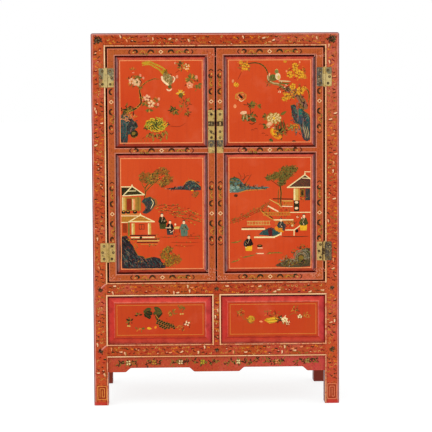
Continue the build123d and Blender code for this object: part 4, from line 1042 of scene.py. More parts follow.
# ---------------------------------------------------------------- lower left door: garden pavilions
def far_hill_left(p):
    p.slab([(53.7, 36.3), (65, 34.7), (72, 33.7), (77, 32.4), (79.4, 28.6), (83, 26.6), (87, 27), (92, 29.2),
            (95.6, 32), (97.7, 35), (97.7, 38), (88, 38.8), (77.5, 37.6), (60, 37.2)], SLATE)
    for k in range(12):
        u = 69 + 2.4 * k
        p.stroke([(u, 36.6), (u + 0.8, 33.4), (u + 2.8, 34.6)], 0.9, p.pick((TEAL, INK, MAUVE)))
    touches(p, 87, 31.6, 9, 4.4, 44, (INK, TEAL, rgb(150, 128, 92), JADE, SLATE), 2.6, 0.7)
    touches(p, 66, 36, 12, 1, 18, (SLATE, INK, rgb(170, 140, 100)), 2.6, 0.6)
    p.stroke([(76, 32.6), (79, 28.4), (83, 26), (88, 26.4), (93, 29.4), (98, 34.6)], 0.6, OCHRE)
    touches(p, 91, 42.6, 4, 3, 16, (BARK, OLIVE, SLATE), 2.4, 0.6)
    p.stroke([(84, 35.6), (88, 32), (93, 32.6), (97, 36)], 0.7, JADE)
    p.blob(87, 38.4, 1.6, 0.8, YELLOW)
    for k in range(4):
        p.stroke([(88 - k * 0.6, 41 + 1.6 * k), (92, 40.6 + 1.6 * k), (96 - k, 41.4 + 1.6 * k)], 0.7, OLIVE)
    foliage(p, [(86, 25, 7, 2)], 8, (OLIVE, OCHRE), 0.8)


def maple(p):
    for points, width in (([(28, 47), (30, 42), (29.6, 36), (33, 31), (38, 28)], 1.3),
                          ([(30, 40), (34.6, 34.6), (42, 28.4), (48, 24)], 1.0),
                          ([(42, 28.4), (50, 32), (53.7, 36.4)], 0.7),
                          ([(29.6, 36), (26, 30), (27, 25)], 0.7)):
        branch(p, points, width, bark=BARK)
    foliage(p, [(30.4, 22.4, 8.6, 7), (49.8, 15.6, 8, 4.6), (57.4, 24.4, 6.4, 6), (41, 21.6, 7, 4.6),
                (51.7, 29.6, 6, 4), (35, 27, 6, 3.6)], 80, (OLIVE, MOSS, OLIVE, OCHRE, LEAF, BARK), 1.35,
            under=rgb(160, 84, 36))
    for u, v in ((33, 11), (35.4, 8.6), (38, 12), (27, 38), (25, 43)):
        p.stroke([(u, v), (u + 1.2, v + 3)], 0.5, RUST)


def pavilion_left(p):
    """The upper pavilion, cut off by the field's left edge."""
    p.slab([(1, 34.4), (12, 34.4), (3, 44), (1, 44)], PINE)
    hipped_roof(p, (13.7, 33), (2.6, 44.2), (28.6, 43), PINE)
    p.level(1, 13, 33.6, 1.2, IVORY)
    p.line([(8.6, 38.6), (18, 38.4)], 0.9, IVORY)
    p.block(1, 46, 24.4, 62, rgb(166, 124, 50))
    p.block(7, 47.4, 13, 61, RUST)
    column(p, 3.6, 46, 62, 4.2)
    column(p, 15.8, 48, 61, 3.8, colour=SALMON)
    p.upright(21, 46, 62, 1.4, OLIVE)
    for u, v in ((3.2, 63.6), (17, 63.4), (8.6, 63.4)):
        p.blob(u, v, 2.7, 2.4, INK, wobble=0.08)
        p.blob(u, v - 0.8, 1.2, 0.8, OCHRE)
    p.level(1, 24, 66, 0.8, STRAW)


def gate_pavilion(p):
    """The lower pavilion, open in front, on a stepped base."""
    p.slab([(1, 67.6), (22, 67.6), (16, 75.4), (1, 75.4)], rgb(190, 124, 44))
    for k in range(6):
        p.stroke([(3 + 3 * k, 68.6), (2 + 2.6 * k, 75)], 0.7, OLIVE)
    p.level(1, 20.5, 68, 1, IVORY)
    hipped_roof(p, (23.6, 67.2), (9.6, 75), (40.4, 75.2), OCHRE)
    for v in (70.4, 72.6):
        p.line([(20.6 - (v - 67) * 0.9, v), (27 + (v - 67) * 0.9, v)], 0.5, RUST)
    p.level(1, 10, 75.8, 1, IVORY)
    p.block(2, 77, 7, 88, rgb(150, 58, 28))
    p.upright(9.4, 77, 91, 2.6, OLIVE)
    column(p, 14.8, 77, 90.4, 4)
    column(p, 34.6, 77, 90.4, 4)
    p.frame(22, 78.4, 28, 84, 0.6, BARK)
    p.upright(25, 78.4, 84, 0.5, BARK)
    for v, left, right, colour, width in ((91.4, 11.6, 42, INK, 1.3), (93.8, 12.6, 22, IVORY, 1.5),
                                          (93.8, 26, 40, IVORY, 1.5), (96, 12.6, 43, PINE, 1.3),
                                          (98, 20, 46, STRAW, 1.2), (99.8, 19.4, 44, INK, 1),
                                          (102, 24, 44, OCHRE, 0.8)):
        p.level(left, right, v, width, colour)
    p.blob(24, 94, 1.7, 1.6, PINE)
    foliage(p, [(43.6, 93.4, 3.4, 3.4), (38, 103, 5, 1.2)], 14, (OLIVE, LEAF, OCHRE), 1.1)


def tea_party(p):
    person(p, 51, 84, 19, PINE, LEAF, lean=-0.06)
    person(p, 59.6, 91, 17.4, INK, SLATE)
    p.level(54.6, 60.4, 82.6, 0.9, CREAM)
    p.slab([(65, 81.2), (71.6, 81.2), (70.6, 84.2), (64, 84.2)], STRAW)
    p.upright(65, 84.6, 89, 0.6, BARK)
    p.upright(71, 83.6, 88, 0.6, BARK)
    p.line([(60, 88.4), (64, 86)], 0.7, CREAM)
    p.blob(66, 78.8, 1.1, 1.4, CREAM)
    person(p, 77, 92.6, 19, JADE, JADE, sash=LEAF, lean=-0.03)
    foliage(p, [(81, 85, 2.4, 3)], 6, LEAVES, 1.2)


def courtyard_left(p):
    rock(p, [(29, 47), (36, 45.4), (41, 49.4), (42.4, 55), (37, 62), (31, 65.6), (26, 64), (30.6, 59.4),
             (29, 55), (25, 51.6)], SLATE, 12, (INK, TEAL, MAUVE, JADE), 60, width=0.8)
    p.stroke([(36.6, 48), (39.4, 53), (36, 60)], 0.9, IVORY)
    p.stroke([(40, 47), (43.8, 52), (42, 58)], 1, OLIVE)
    for points in ([(42, 59), (50, 60), (56, 58), (62, 60.6), (68, 58), (73, 61)],
                   [(46, 63), (56, 62), (66, 64), (76, 63.4)],
                   [(71, 66), (80, 67), (90, 70), (98, 74)],
                   [(76, 71), (86, 72.6), (98, 76.6)],
                   [(70, 60), (79, 63.6)],
                   [(60, 66), (70, 69), (80, 74), (90, 79)],
                   [(44, 57), (52, 55.4), (62, 56.6), (70, 55)],
                   [(82, 62), (90, 66), (98, 69)]):
        contour(p, points, 0.6, p.pick((RUST, BARK)), dashes=16)
    touches(p, 72, 64, 24, 7, 40, EARTHS, 3, 0.5)
    touches(p, 80, 92, 17, 4, 24, EARTHS, 3.4, 0.45)
    for v, left, right in ((93.4, 47, 66), (92.6, 70, 98), (95.4, 80, 97), (100, 60, 97), (104, 64, 90)):
        contour(p, [(left, v), ((left + right) / 2, v + 0.6), (right, v)], 0.6, RUST, dashes=3)


def shore_left(p):
    rock(p, [(1, 92.5), (6.8, 91.6), (11.7, 101), (16.6, 108.7), (20.5, 115.4), (26.3, 116.3),
             (29.3, 119.2), (38, 117.3), (46.8, 119.2), (48.8, 123), (53.7, 130.4), (1, 130.4)],
         rgb(44, 44, 46), 110, (INK, SLATE, rgb(70, 76, 76), INK, rgb(112, 100, 80), TEAL), -52)
    foliage(p, [(24, 121, 7, 3)], 16, (OCHRE, MAUVE, OLIVE), 1.0)
    foliage(p, [(52.6, 115, 6, 5.4), (57.8, 108.6, 4.6, 3.6), (64, 120.6, 8.6, 8), (57.4, 124.6, 6, 5)],
            80, (OLIVE, MOSS, OLIVE, GOLD, BARK), 1.4, under=rgb(158, 86, 34))
    foliage(p, [(8, 95, 7, 4), (16, 103, 4, 6)], 14, (GOLD, OLIVE), 1.2)


def draw_lower_left(p):
    far_hill_left(p)
    maple(p)
    courtyard_left(p)
    pavilion_left(p)
    gate_pavilion(p)
    tea_party(p)
    shore_left(p)


# ---------------------------------------------------------------- lower right door: terraces
def far_hill_right(p):
    p.slab([(1, 26), (6, 24), (12, 24.6), (19.7, 33), (27, 34), (36, 34.6), (46, 34.4), (50, 35.8),
            (40, 37.6), (24, 37.4), (15, 40), (10.9, 41.4), (1, 41.2)], rgb(86, 116, 104))
    mist = rgb(150, 170, 150)
    touches(p, 9, 29, 8, 6, 60, (TEAL, PINE, SLATE, MOSS, OLIVE), 3, 0.9)
    touches(p, 18, 34, 6, 3, 26, (PINE, SLATE, OLIVE))
    touches(p, 6, 37, 6, 3.6, 26, (mist, mist, JADE))
    touches(p, 32, 35.8, 16, 1.4, 34, (PINE, BARK, JADE, SLATE), 3, 0.7)
    p.stroke([(1, 26), (7, 23.6), (14, 25.6)], 1.2, LEAF)
    p.stroke([(12, 42), (19, 39.4), (30, 38.4), (46, 38)], 0.8, OCHRE)
    for points in ([(15, 27), (14, 21), (11, 17)], [(17, 29), (19, 22), (18, 18)],
                   [(20, 31), (24, 25), (28, 19)], [(17, 28), (21, 22), (25, 21)]):
        p.stroke(points, 0.5, BARK)
    p.blob(8.6, 45, 2.4, 1.8, BARK, wobble=0.2)
    foliage(p, [(20, 22, 8, 4)], 10, (OLIVE, RUST), 0.8)


def pine_right(p):
    branch(p, [(60, 57), (60, 47), (60.6, 37)], 0.8, bark=BARK)
    branch(p, [(63.6, 57.6), (63.2, 50), (63.6, 42), (63, 34), (66, 28)], 1.4)
    p.stroke([(63.4, 36), (56, 30), (50, 26)], 0.7, BARK)
    foliage(p, [(52, 23.6, 7.6, 3.8), (60.6, 20.4, 8, 3.8), (70, 14.6, 8.4, 4.4), (78, 14.2, 6, 4.6),
                (66, 24.6, 7, 4.6), (64, 30, 4.6, 3), (73, 20.4, 6, 3)],
            86, (MOSS, OLIVE, LEAF, MOSS, rgb(128, 116, 56), PINE), 1.3, under=rgb(120, 84, 36))


def pavilion_right(p):
    p.slab([(84, 27), (99, 25.4), (99, 35.4), (74, 35.4)], rgb(88, 56, 48))
    p.slab([(92.7, 20.6), (99.4, 26), (99.4, 35.6), (71.4, 35.6)], rgb(84, 54, 46))
    for k in range(7):
        p.stroke([(89 + 1.2 * k, 27 + 0.3 * k), (76.4 + 3.4 * k, 35)], 0.5, OLIVE)
    p.line([(92.7, 20.6), (71.4, 35.6)], 1.3, IVORY)
    p.line([(92.7, 20.6), (99.4, 25.8)], 1.1, IVORY)
    p.leaf(92.7, 21.6, 4, 1.8, 90, IVORY)
    p.level(92.6, 99, 17.2, 0.9, IVORY)
    p.line([(89.6, 24.6), (99, 25)], 0.9, IVORY)
    p.level(71.4, 99, 35.6, 1.3, IVORY)
    column(p, 82.4, 37, 51, 7.4)
    p.block(86.8, 37, 92.4, 47, PINE)
    p.frame(87.6, 38.6, 91.6, 46, 0.6, OCHRE)
    p.block(93.2, 37, 99, 51, SLATE)
    foliage(p, [(92, 50, 5, 3)], 12, (OLIVE, OCHRE, LEAF), 1.2)
    p.slab([(79, 51.4), (86, 51.4), (85.6, 64), (79.4, 64)], PINE)
    for v in (53.4, 60.4):
        p.blob(82.4, v, 2.2, 1.6, CREAM)
    p.level(75, 99, 65.4, 1, IVORY)


def terraces(p):
    earth = rgb(156, 88, 40)
    for drop, tone in ((-0.9, earth), (0.9, RUST), (3, RUST)):
        contour(p, [(1, 75 + drop), (14, 71.6 + drop), (27, 65 + drop), (40, 59 + drop), (50, 52 + drop)],
                0.7, tone, dashes=8)
    for u, v in ((8, 74), (20, 69), (32, 63.6), (44, 57)):
        touches(p, u, v, 6, 2.6, 18, (OLIVE, earth, earth, RUST), 2.6, 0.6)
    touches(p, 62, 62, 18, 8, 50, EARTHS, 3, 0.5)
    touches(p, 70, 78, 12, 4, 36, (PINE, BARK, OLIVE, OCHRE), 2.4, 0.6)
    for points, colour, width in (([(50, 50), (60, 55.4), (64, 59)], STRAW, 0.9),
                                  ([(54, 49), (78, 49.6)], BARK, 1.2),
                                  ([(65, 51.4), (77, 51.6)], STRAW, 0.8),
                                  ([(56, 52.6), (63, 56)], OCHRE, 0.8),
                                  ([(65, 58), (77, 58.4)], CREAM, 1.1),
                                  ([(48, 57.8), (59.4, 64)], CREAM, 1.6),
                                  ([(38, 61.6), (43, 67.4), (54, 74)], OCHRE, 1.1),
                                  ([(40, 63), (53, 72)], BARK, 1.2),
                                  ([(55, 74.2), (78, 74.2)], IVORY, 1.3)):
        p.line(points, width, colour)
    balustrade(p, (42, 68.6), (75, 68.6), 3.4, 17)
    balustrade(p, (22, 80), (50, 80), 4.4, 15, colour=STRAW)
    balustrade(p, (56, 79), (78, 79), 3.6, 9, width=0.6)
    balustrade(p, (66, 56.4), (78, 56.4), 4, 7, width=0.6)


def bridge(p):
    p.level(16, 42, 83.4, 0.9, PINE)
    p.level(16, 43, 85, 1.8, IVORY)
    p.slab([(36, 91.6), (41, 86.6), (52, 85), (63, 88), (62, 92), (54, 93.6)], TEAL)
    p.slab([(47, 84), (52.4, 83), (53, 93), (48.4, 93.4)], rgb(92, 34, 38))
    p.stroke([(43, 86.4), (52, 84.6), (60, 86)], 1.2, SLATE)
    p.blob(59.6, 84.4, 4, 3.2, AMBER, wobble=0.1)
    p.level(31.4, 55, 94.8, 1.8, IVORY)
    p.stroke([(54.6, 94.6), (59, 93), (63.6, 90.6)], 1.6, IVORY, start=1, end=1)
    p.upright(63.4, 84, 92, 1.4, IVORY)
    p.level(69.4, 79, 86.4, 1.3, IVORY)
    p.stroke([(79, 86.6), (83, 84), (87, 81)], 1.3, IVORY, start=1, end=1)
    p.upright(79.4, 87, 92.4, 1.3, IVORY)
    p.blob(82.8, 87.4, 1.9, 2.2, INK)
    p.blob(77.4, 81.2, 1.3, 1.3, IVORY)
    foliage(p, [(75, 81, 4, 3)], 12, (PINE, LEAF, OCHRE), 1.1)
    contour(p, [(64, 94), (80, 94.4), (98, 94)], 0.9, BARK)


def garden_people(p):
    person(p, 63.4, 89, 17, SLATE, AMBER)
    p.blob(67.2, 83, 1.8, 4.6, SLATE, turn=-14)
    person(p, 91, 87, 19.6, LEAF, YELLOW, lean=0.02)
    foliage(p, [(86, 71.4, 4, 3)], 12, (LEAF, OLIVE, CREAM), 1.2)
    person(p, 24, 111, 19, INK, YELLOW)
    p.stroke([(20, 98), (18.6, 103), (20, 106)], 2.2, SLATE)
    p.blob(37.4, 105, 3.6, 1.7, INK)
    p.blob(37.4, 104.6, 2, 0.7, OLIVE)
    p.level(35, 40.4, 107.6, 0.9, CREAM)
    p.level(33, 41.6, 114.2, 1.1, CREAM)


def shore_right(p):
    for points in ([(2, 101), (9, 100.4), (16, 98.6)], [(16, 119), (24, 117.4), (32, 115.4)],
                   [(2, 124.6), (8, 123), (12, 121.6)], [(45, 115), (56, 113.4), (66, 114)]):
        contour(p, points, 1.3, dashes=7)
    rock(p, [(99, 108.6), (93, 108), (86, 112.6), (81, 118), (80, 122), (72, 121), (68, 122.6),
             (60, 126.4), (58.6, 130), (99, 130)], rgb(84, 74, 50), 60, (BARK, OLIVE, PINE, INK, MOSS), 30)
    pale = rgb(142, 132, 104)
    touches(p, 88, 116, 11, 9, 60, (pale, SLATE, MOSS, PINE, OLIVE), 3.4)
    touches(p, 70, 124, 12, 5, 44, (OLIVE, BARK, MOSS, pale))
    for size in (9, 7, 5):
        p.stroke([polar(88, 119.6, size, angle) for angle in range(-20, 221, 40)], 0.8, pale)
    p.blob(88, 119.6, 3.4, 2.6, OLIVE, wobble=0.2)
    foliage(p, [(90, 106.6, 6, 3), (70, 119, 6, 2.6)], 16, (MOSS, OLIVE, RUST), 1.2)


def draw_lower_right(p):
    far_hill_right(p)
    pine_right(p)
    terraces(p)
    pavilion_right(p)
    bridge(p)
    garden_people(p)
    shore_right(p)


# ---------------------------------------------------------------- lower panels and apron
def vine_leaf(p, u, v, size, angle):
    """A broad dark leaf of three lobes, with pale veins."""
    for turn in (-36, 36, 0):
        at = polar(u, v, size * 0.5, angle + turn)
        p.blob(*at, size * 0.5, size * 0.27, p.pick((PINE, LEAF)), turn=angle + turn, wobble=0.16)
    for turn in (-36, 0, 36):
        p.stroke([(u, v), polar(u, v, size * 0.86, angle + turn)], size * 0.07, OLIVE)


def draw_grapes(p):
    """Left fixed panel: a bunch of grapes under two leaves, with sprigs."""
    touches(p, 41, 9, 11, 5, 30, (OLIVE, PINE, RUST, OCHRE), 2.6, 0.6)
    p.stroke([(33, 8), (40, 5.4), (46, 7)], 0.5, OLIVE)
    vine_leaf(p, 31.4, 8.8, 10.4, -4)
    vine_leaf(p, 52.2, 8.4, 10.4, 184)
    p.stroke([(45, 10.4), (46.4, 14), (49, 16)], 0.6, OCHRE)
    touches(p, 56, 21, 11, 5.6, 26, (PINE, OLIVE, RUST), 1.8, 0.6)
    for row in range(8):
        for k in range(4 - abs(row - 2) // 2):
            u = 46.6 + 2.7 * row + 0.8 * (k % 2)
            v = 16.2 + 1.35 * row + 2.4 * k - 1.0 * (row > 4)
            p.blob(u, v, 1.5, 1.35, OLIVE)
            p.blob(u + 0.1, v + 0.1, 1.15, 1.0, INK)
    blossom(p, 81.4, 22, 3.6, CREAM, PINE, petals=4, turn=20)
    spray(p, 15, 19, 5, 5, (PINE, OLIVE), 30, 260)
    touches(p, 15, 19, 3, 4, 12, (PINE, OLIVE, BARK), 2.4, 0.7)
    spray(p, 25, 11.6, 5, 4, (PINE, OLIVE), 0, 200)
    for u, v in ((12.6, 24), (14.6, 24.2), (74, 10.6), (76.6, 10.4)):
        p.blob(u, v, 1.1, 0.9, STRAW)
    p.leaf(34.6, 26.6, 5.8, 3, 350, YELLOW)
    p.leaf(44, 27.6, 4, 3, 70, AMBER)
    touches(p, 28, 27.4, 6, 1.8, 16, GROWTH, 2.6)
    touches(p, 64, 9.6, 5, 4, 22, GROWTH, 2.6)
    touches(p, 75, 4, 5, 2.6, 18, GREENS, 2.8)
    touches(p, 74, 27, 6, 2, 16, DRY, 2.6, 0.6)


def draw_fruit(p):
    """Right fixed panel: a yellow flower and fruit among white blossoms."""
    touches(p, 12, 10, 4, 4, 18, DRY, 2.8, 0.7)
    p.stroke([(13, 12), (16, 17), (21, 18)], 0.5, OLIVE)
    p.blob(24.6, 17, 4.6, 4, rgb(196, 142, 44), wobble=0.14)
    touches(p, 24.6, 17, 4, 3.4, 16, (OLIVE, RUST, YELLOW), 2, 0.6)
    p.stroke([(19.6, 19), (23, 22), (28, 21)], 0.9, OLIVE)
    touches(p, 48, 11, 9, 3, 24, DRY, 2.8, 0.6)
    p.leaf(38, 20.6, 4.4, 2.4, 170, SALMON)
    p.blob(48.6, 18.8, 8, 3, rgb(206, 144, 34), wobble=0.16, sides=14)
    for k in range(11):
        reach = 8.4 - abs(k - 5) * 0.9
        v = 15.6 + 0.62 * k
        p.stroke([(49 - reach, v + 0.8), (47, v + 0.5), (49 + reach, v - 0.4)], 0.62,
                 (YELLOW, rgb(226, 146, 34), rgb(246, 206, 70), YELLOW, OLIVE)[k % 5])
    touches(p, 57.4, 17.6, 4, 4, 26, (PINE, LEAF, OLIVE, INK), 2.6, 0.9)
    blossom(p, 63.8, 18.4, 3.6, IVORY, OLIVE, CREAM)
    blossom(p, 67, 22.4, 2.6, CREAM, OLIVE)
    touches(p, 65, 20.4, 5.4, 5, 14, (OLIVE, PINE, IVORY), 2, 0.6)
    p.stroke([(68, 14), (74, 10.6), (80, 12)], 0.5, OLIVE)
    touches(p, 76, 6.4, 5, 2.6, 18, DRY, 2.8, 0.7)
    blossom(p, 81.4, 14.6, 3, IVORY, PINE)
    touches(p, 88.6, 13.4, 4, 4, 16, (OLIVE, OCHRE), 2.6, 0.6)


def draw_apron(p):
    """Sprigs and flowers along the apron; u and v are millimetres from its left end and top."""
    for u in (42, 57, 108, 160, 207, 262, 285, 318, 350, 412, 433, 484, 502, 556, 573, 600, 640, 662,
              706, 762, 786, 832, 847):
        touches(p, u, 22 + p.stray(4), 10, 9, 9, (PINE, OLIVE, BARK, BARK, OLIVE), 11, 3.8)
    for u, petal, heart in ((81, IVORY, PINE), (185, OCHRE, RUST), (293, CREAM, OLIVE), (382, LIME, OLIVE),
                            (526, IVORY, OLIVE), (684, SALMON, RUST), (807, rgb(170, 140, 80), PINE)):
        touches(p, u, 22, 18, 9, 14, (BARK, OLIVE, PINE), 11, 3.8)
        blossom(p, u, 22, 10.5, petal, heart, OLIVE, petals=4, turn=45)


# ---------------------------------------------------------------- borders
SPRIG_PITCH = 8.2  # millimetres from one small motif of a band to the next
KNOT_GAP = 16 * MM  # the rails' bands end this far from the middle, where a knot lies over the joint


def dash(p, u, v, angle, colour):
    """A pale touch of the brush with a darker one beside it."""
    p.blob(u, v, 6.6, 2.5, colour, turn=angle, wobble=0.24)
    p.blob(*polar(u, v, 4.6, angle + 30), 3.2, 1.9, colour, turn=angle, wobble=0.2)
    p.stroke([polar(u, v, 11, angle + 195), polar(u, v, 5, angle + 270), polar(u, v, 11, angle - 20)],
             2.8, p.pick((OLIVE, RUST, BARK)))


def comma(p, u, v, angle, colour):
    p.stroke([polar(u, v, 7, angle), (u, v), polar(u, v, 7, angle + 150)], 4.6, colour, start=0.8, end=0.15)
    p.blob(*polar(u, v, 6, angle + 60), 2, 1.5, p.pick((OCHRE, AMBER, CREAM)))


def curl(p, u, v, angle, colour):
    p.stroke([polar(u, v, 6.2 - 0.9 * k, angle + 62 * k) for k in range(5)], 1.7, colour)


def sprig(p, u, v):
    """One of the borders' small motifs, of a kind and colour left to chance. Most lie level."""
    angle = p.pick((0, 180)) + p.stray(30)
    kind = p.pick(("dash", "comma", "comma", "leaves", "leaves", "curl", "curl", "spot", "spot"))
    if kind == "dash":
        dash(p, u, v, angle * 0.5, p.pick((rgb(246, 204, 156), rgb(240, 184, 138), SALMON)))
    elif kind == "comma":
        comma(p, u, v, angle, p.pick((PINE, BARK, RUST, BARK, rgb(112, 30, 16))))
    elif kind == "leaves":
        tone = p.pick((OLIVE, OCHRE, BARK, BARK, AMBER))
        for turn in (-35, 10, 165):
            p.leaf(u, v, 8.4, 3.4, angle + turn, tone)
    elif kind == "curl":
        curl(p, u, v, angle, p.pick((OCHRE, STRAW)))
    else:
        p.blob(u, v, 6, 2.2, p.pick((RUST, DEEP_RED, BARK, AMBER)), turn=angle, wobble=0.25)


def sprig_band(p, start, end, reach):
    """Small loose motifs along a band; reach is how far they stray to each side of its middle."""
    length = math.hypot(end[0] - start[0], end[1] - start[1])
    along = ((end[0] - start[0]) / length, (end[1] - start[1]) / length)
    for k in range(int(length / SPRIG_PITCH)):
        step = (k + 0.5 + p.stray(0.3)) * SPRIG_PITCH
        side = reach * (0.6 * (-1) ** k + p.stray(0.4))
        sprig(p, start[0] + along[0] * step - along[1] * side, start[1] + along[1] * step + along[0] * side)


def rosette(p, u, v, across, up):
    """The dark leafy knot over a joint of the frame, with a few pale veins."""
    for k in range(12):
        angle = 30 * k + p.stray(12)
        du, dv = polar(0, 0, p.some(0.5, 0.95), angle)
        p.leaf(u, v, math.hypot(across * du, up * dv), up * 0.5, angle, p.pick((INK, PINE, LEAF)))
    longest = across * 0.36
    touches(p, u, v, across * 0.8, up * 0.8, 20, (INK, PINE, INK, LEAF), longest, longest * 0.44)
    touches(p, u, v, across * 0.8, up * 0.8, 9, (rgb(150, 132, 108), OLIVE, MAUVE), longest, 1.1)


def pale_mitre_line(p, knot, corner):
    """A pale diagonal over the mitre, from beside the rosette up to the beads' corner, darker below, palest
    on top.
    """
    (u, v), (end_u, end_v) = knot, corner
    path = [(u + 2, v - 6), ((u + end_u) / 2 - 3, (v + end_v) / 2), (end_u, end_v)]
    for drop, width, colour in ((3, 5, rgb(196, 92, 80)), (0, 4.4, rgb(216, 126, 112)),
                                (-1, 1.4, rgb(232, 176, 152))):
        p.stroke([(x, y + drop) for x, y in path], width, colour)


def diamond(p, u, v):
    p.slab([(u - 10, v), (u, v - 9), (u + 10, v), (u, v + 9)], rgb(242, 196, 140))
    p.slab([(u - 5, v), (u, v - 4.6), (u + 5, v), (u, v + 4.6)], RUST)


def cartouche(p, u, v, upright):
    """A diamond between mirrored scrolls and round brackets, along one member of a door frame."""
    turn = 90 if upright else 0

    def at(along, across):
        return polar(*polar(u, v, along, turn), across, turn + 90)

    for side in (-1, 1):
        p.stroke([at(side * 120, 10), at(side * 128, 0), at(side * 120, -10)], 4.8, BARK)
        p.stroke([at(side * 111, 4), at(side * 102, 8), at(side * 94, 1), at(side * 102, -6)], 7, PINE)
        p.blob(*at(side * 110, -2), 3.6, 2.4, STRAW, turn=turn, wobble=0.15)
        for place in (88, 80, 73, 64, 58):
            root = at(side * place, 0.4 * (place % 7) - 5)
            p.leaf(*root, 12, 5, turn + 50 * side, (OLIVE, BARK)[place % 2])
        p.stroke([at(side * 84, -6), at(side * 74, 5), at(side * 64, -2), at(side * 68, -7)], 3.2, OCHRE)
        p.stroke([at(side * 53, -5), at(side * 45, 6), at(side * 34, 5), at(side * 28, -4)], 7.4, PINE,
                 start=0.3, end=0.3)
        p.blob(*at(side * 39, -3), 3.4, 2.6, OCHRE, turn=turn, wobble=0.15)
        p.stroke([at(side * 22, 7), at(side * 16, 0), at(side * 22, -7)], 2.0, OLIVE)
    diamond(p, u, v)


def key_fret(p, left, top, right, bottom, colour):
    """A square spiral inside a line, over a darker ground."""
    width = (right - left) / 9
    p.block(left, top, right, bottom, rgb(150, 52, 26))
    p.frame(left, top, right, bottom, width * 0.8, colour)
    a, b, c, d = left + 2.2 * width, top + 2.4 * width, right - 2.2 * width, bottom - 2.4 * width
    middle = (left + right) / 2
    p.line([(a, d), (a, b), (c, b), (c, d), (middle, d), (middle, b + 2 * width)], width * 0.8, colour)


def carcass_borders(material):
    """Everything painted on the posts, the rails and the muntin, in millimetres from the top left."""
    p = Painting("painted_borders_cabinet", -HALF, TOP, MM, MM, FRONT)

    def level(height):
        return (TOP - height) / MM

    def across(x):
        return (x + HALF) / MM

    flat = (EDGE_ROUND + (POST - BEAD)) / MM / 2  # the middle of a post's flat face, from its outside
    reach = (POST - BEAD - EDGE_ROUND) / MM * 0.36
    # each knot's height, and its reach across and up
    knots = ((TOP - 27 * MM, 23, 19), ((DOOR_SILL + MIDDLE_RAIL_FOOT) / 2, 13, 12),
             ((STORE_SILL + BOTTOM_RAIL_FOOT) / 2, 14, 14))
    under_knot, over_fret = 50, level(94 * MM)
    for side in (0, 1):
        middle = across(HALF) * side + (1 - 2 * side) * flat
        sprig_band(p, (middle, under_knot), (middle, level(DOOR_SILL) + 6), reach)
        sprig_band(p, (middle, level(MIDDLE_RAIL_FOOT) - 6), (middle, level(STORE_SILL) + 4), reach)
        sprig_band(p, (middle, level(BOTTOM_RAIL_FOOT) - 6), (middle, over_fret), reach)
        for height, wide, tall in knots:
            rosette(p, middle, level(height), wide, tall)
            if side == 0 and height != knots[0][0]:
                pale_mitre_line(p, (middle, level(height)), (across(-INNER) - 3, level(height) - 26))
        fret = middle + 3 * (1 - side)
        half = 17.5
        key_fret(p, fret - half, level((78 + side) * MM), fret + half, level((25 - 6 * side) * MM),
                 (rgb(222, 142, 66), rgb(226, 130, 90))[side])
    for top, foot in ((TOP - EDGE_ROUND, TOP_RAIL_FOOT + BEAD), (DOOR_SILL - BEAD, MIDDLE_RAIL_FOOT + BEAD),
                      (STORE_SILL - BEAD, BOTTOM_RAIL_FOOT + BEAD)):
        middle = level((top + foot) / 2)
        rows = (top - foot) / MM * 0.36
        for start, end in ((-INNER, -KNOT_GAP), (KNOT_GAP, INNER)):
            sprig_band(p, (across(start), middle), (across(end), middle), rows)
    for height, wide, tall in knots[1:]:
        rosette(p, across(0), level(height), wide * 0.9, tall * 0.8)
    sprig_band(p, (across(0), level(MIDDLE_RAIL_FOOT)), (across(0), level(STORE_SILL)), 5)
    p.finish("cabinet", material)


def opening(name, panel):
    """The left, top, right and bottom of a door panel's opening."""
    stiles = [f"door_{name}_stile_hinge", f"door_{name}_stile_meeting"]
    stiles.sort(key=lambda node: low(node).x)
    above, under = ("top", "middle") if panel == "upper" else ("middle", "bottom")
    return (high(stiles[0]).x, low(f"door_{name}_rail_{above}").z, low(stiles[1]).x,
            high(f"door_{name}_rail_{under}").z)


def door_borders(name, material):
    """The cartouches, the fine edge lines, a painted shadow where the doors meet and the worn corners on one
    door's frame.
    """
    stiles = [f"door_{name}_stile_hinge", f"door_{name}_stile_meeting"]
    left = min(low(node).x for node in stiles)
    right = max(high(node).x for node in stiles)
    top = high(stiles[0]).z
    foot = low(stiles[0]).z
    p = Painting(f"painted_borders_{name}_door", left, top, MM, MM, FRONT)
    width, height = (right - left) / MM, (top - foot) / MM
    edge = 2.6  # from the door's edge in to the middle of its pale line
    p.frame(edge, edge, width - edge, height - edge, 2.4, rgb(222, 130, 104))
    # a near-black painted shadow line along the edge where the doors meet
    gap = 0.9  # the same of the dark line where the doors meet
    meeting = width - gap if name == "left" else gap
    p.upright(meeting, 1, height - 1, 2 * gap, rgb(16, 2, 2))
    out = 2.4  # from an opening's edge out to the middle of its line
    for panel in ("upper", "lower"):
        a, b, c, d = opening(name, panel)
        p.frame((a - left) / MM - out, (top - b) / MM - out, (c - left) / MM + out, (top - d) / MM + out,
                2.8, rgb(208, 138, 118))
        for node in stiles:
            middle = (low(node).x + high(node).x) / 2
            cartouche(p, (middle - left) / MM, (top - (b + d) / 2) / MM, True)
    for rail in ("top", "middle", "bottom"):
        node = f"door_{name}_rail_{rail}"
        cartouche(p, width / 2, (top - (low(node).z + high(node).z) / 2) / MM, False)
    tones = (rgb(232, 172, 140), rgb(214, 122, 92), rgb(150, 48, 26), rgb(208, 84, 50))
    for u, v in ((width - 34, height - 18), (width - 16, height - 40), (24, height - 14), (width - 14, 30)):
        touches(p, u, v, 24, 9, 46, tones, 5, 1.4)
    p.finish(f"{name}_door", material)


# ---------------------------------------------------------------- the paintings in their places
SCENE_WIDTH = 100  # the door scenes' own units across; their heights follow
UPPER_HEIGHT = 99
LOWER_HEIGHT = 131.6
DOOR_LINE = 3.3 * MM  # from a door panel's field edge in to the middle of its ruled line
FIXED_LINE = 8 * MM  # the same on the lower panels
DOOR_LINE_WIDTH = 3.4 * MM
FIXED_LINE_WIDTH = 1.8 * MM


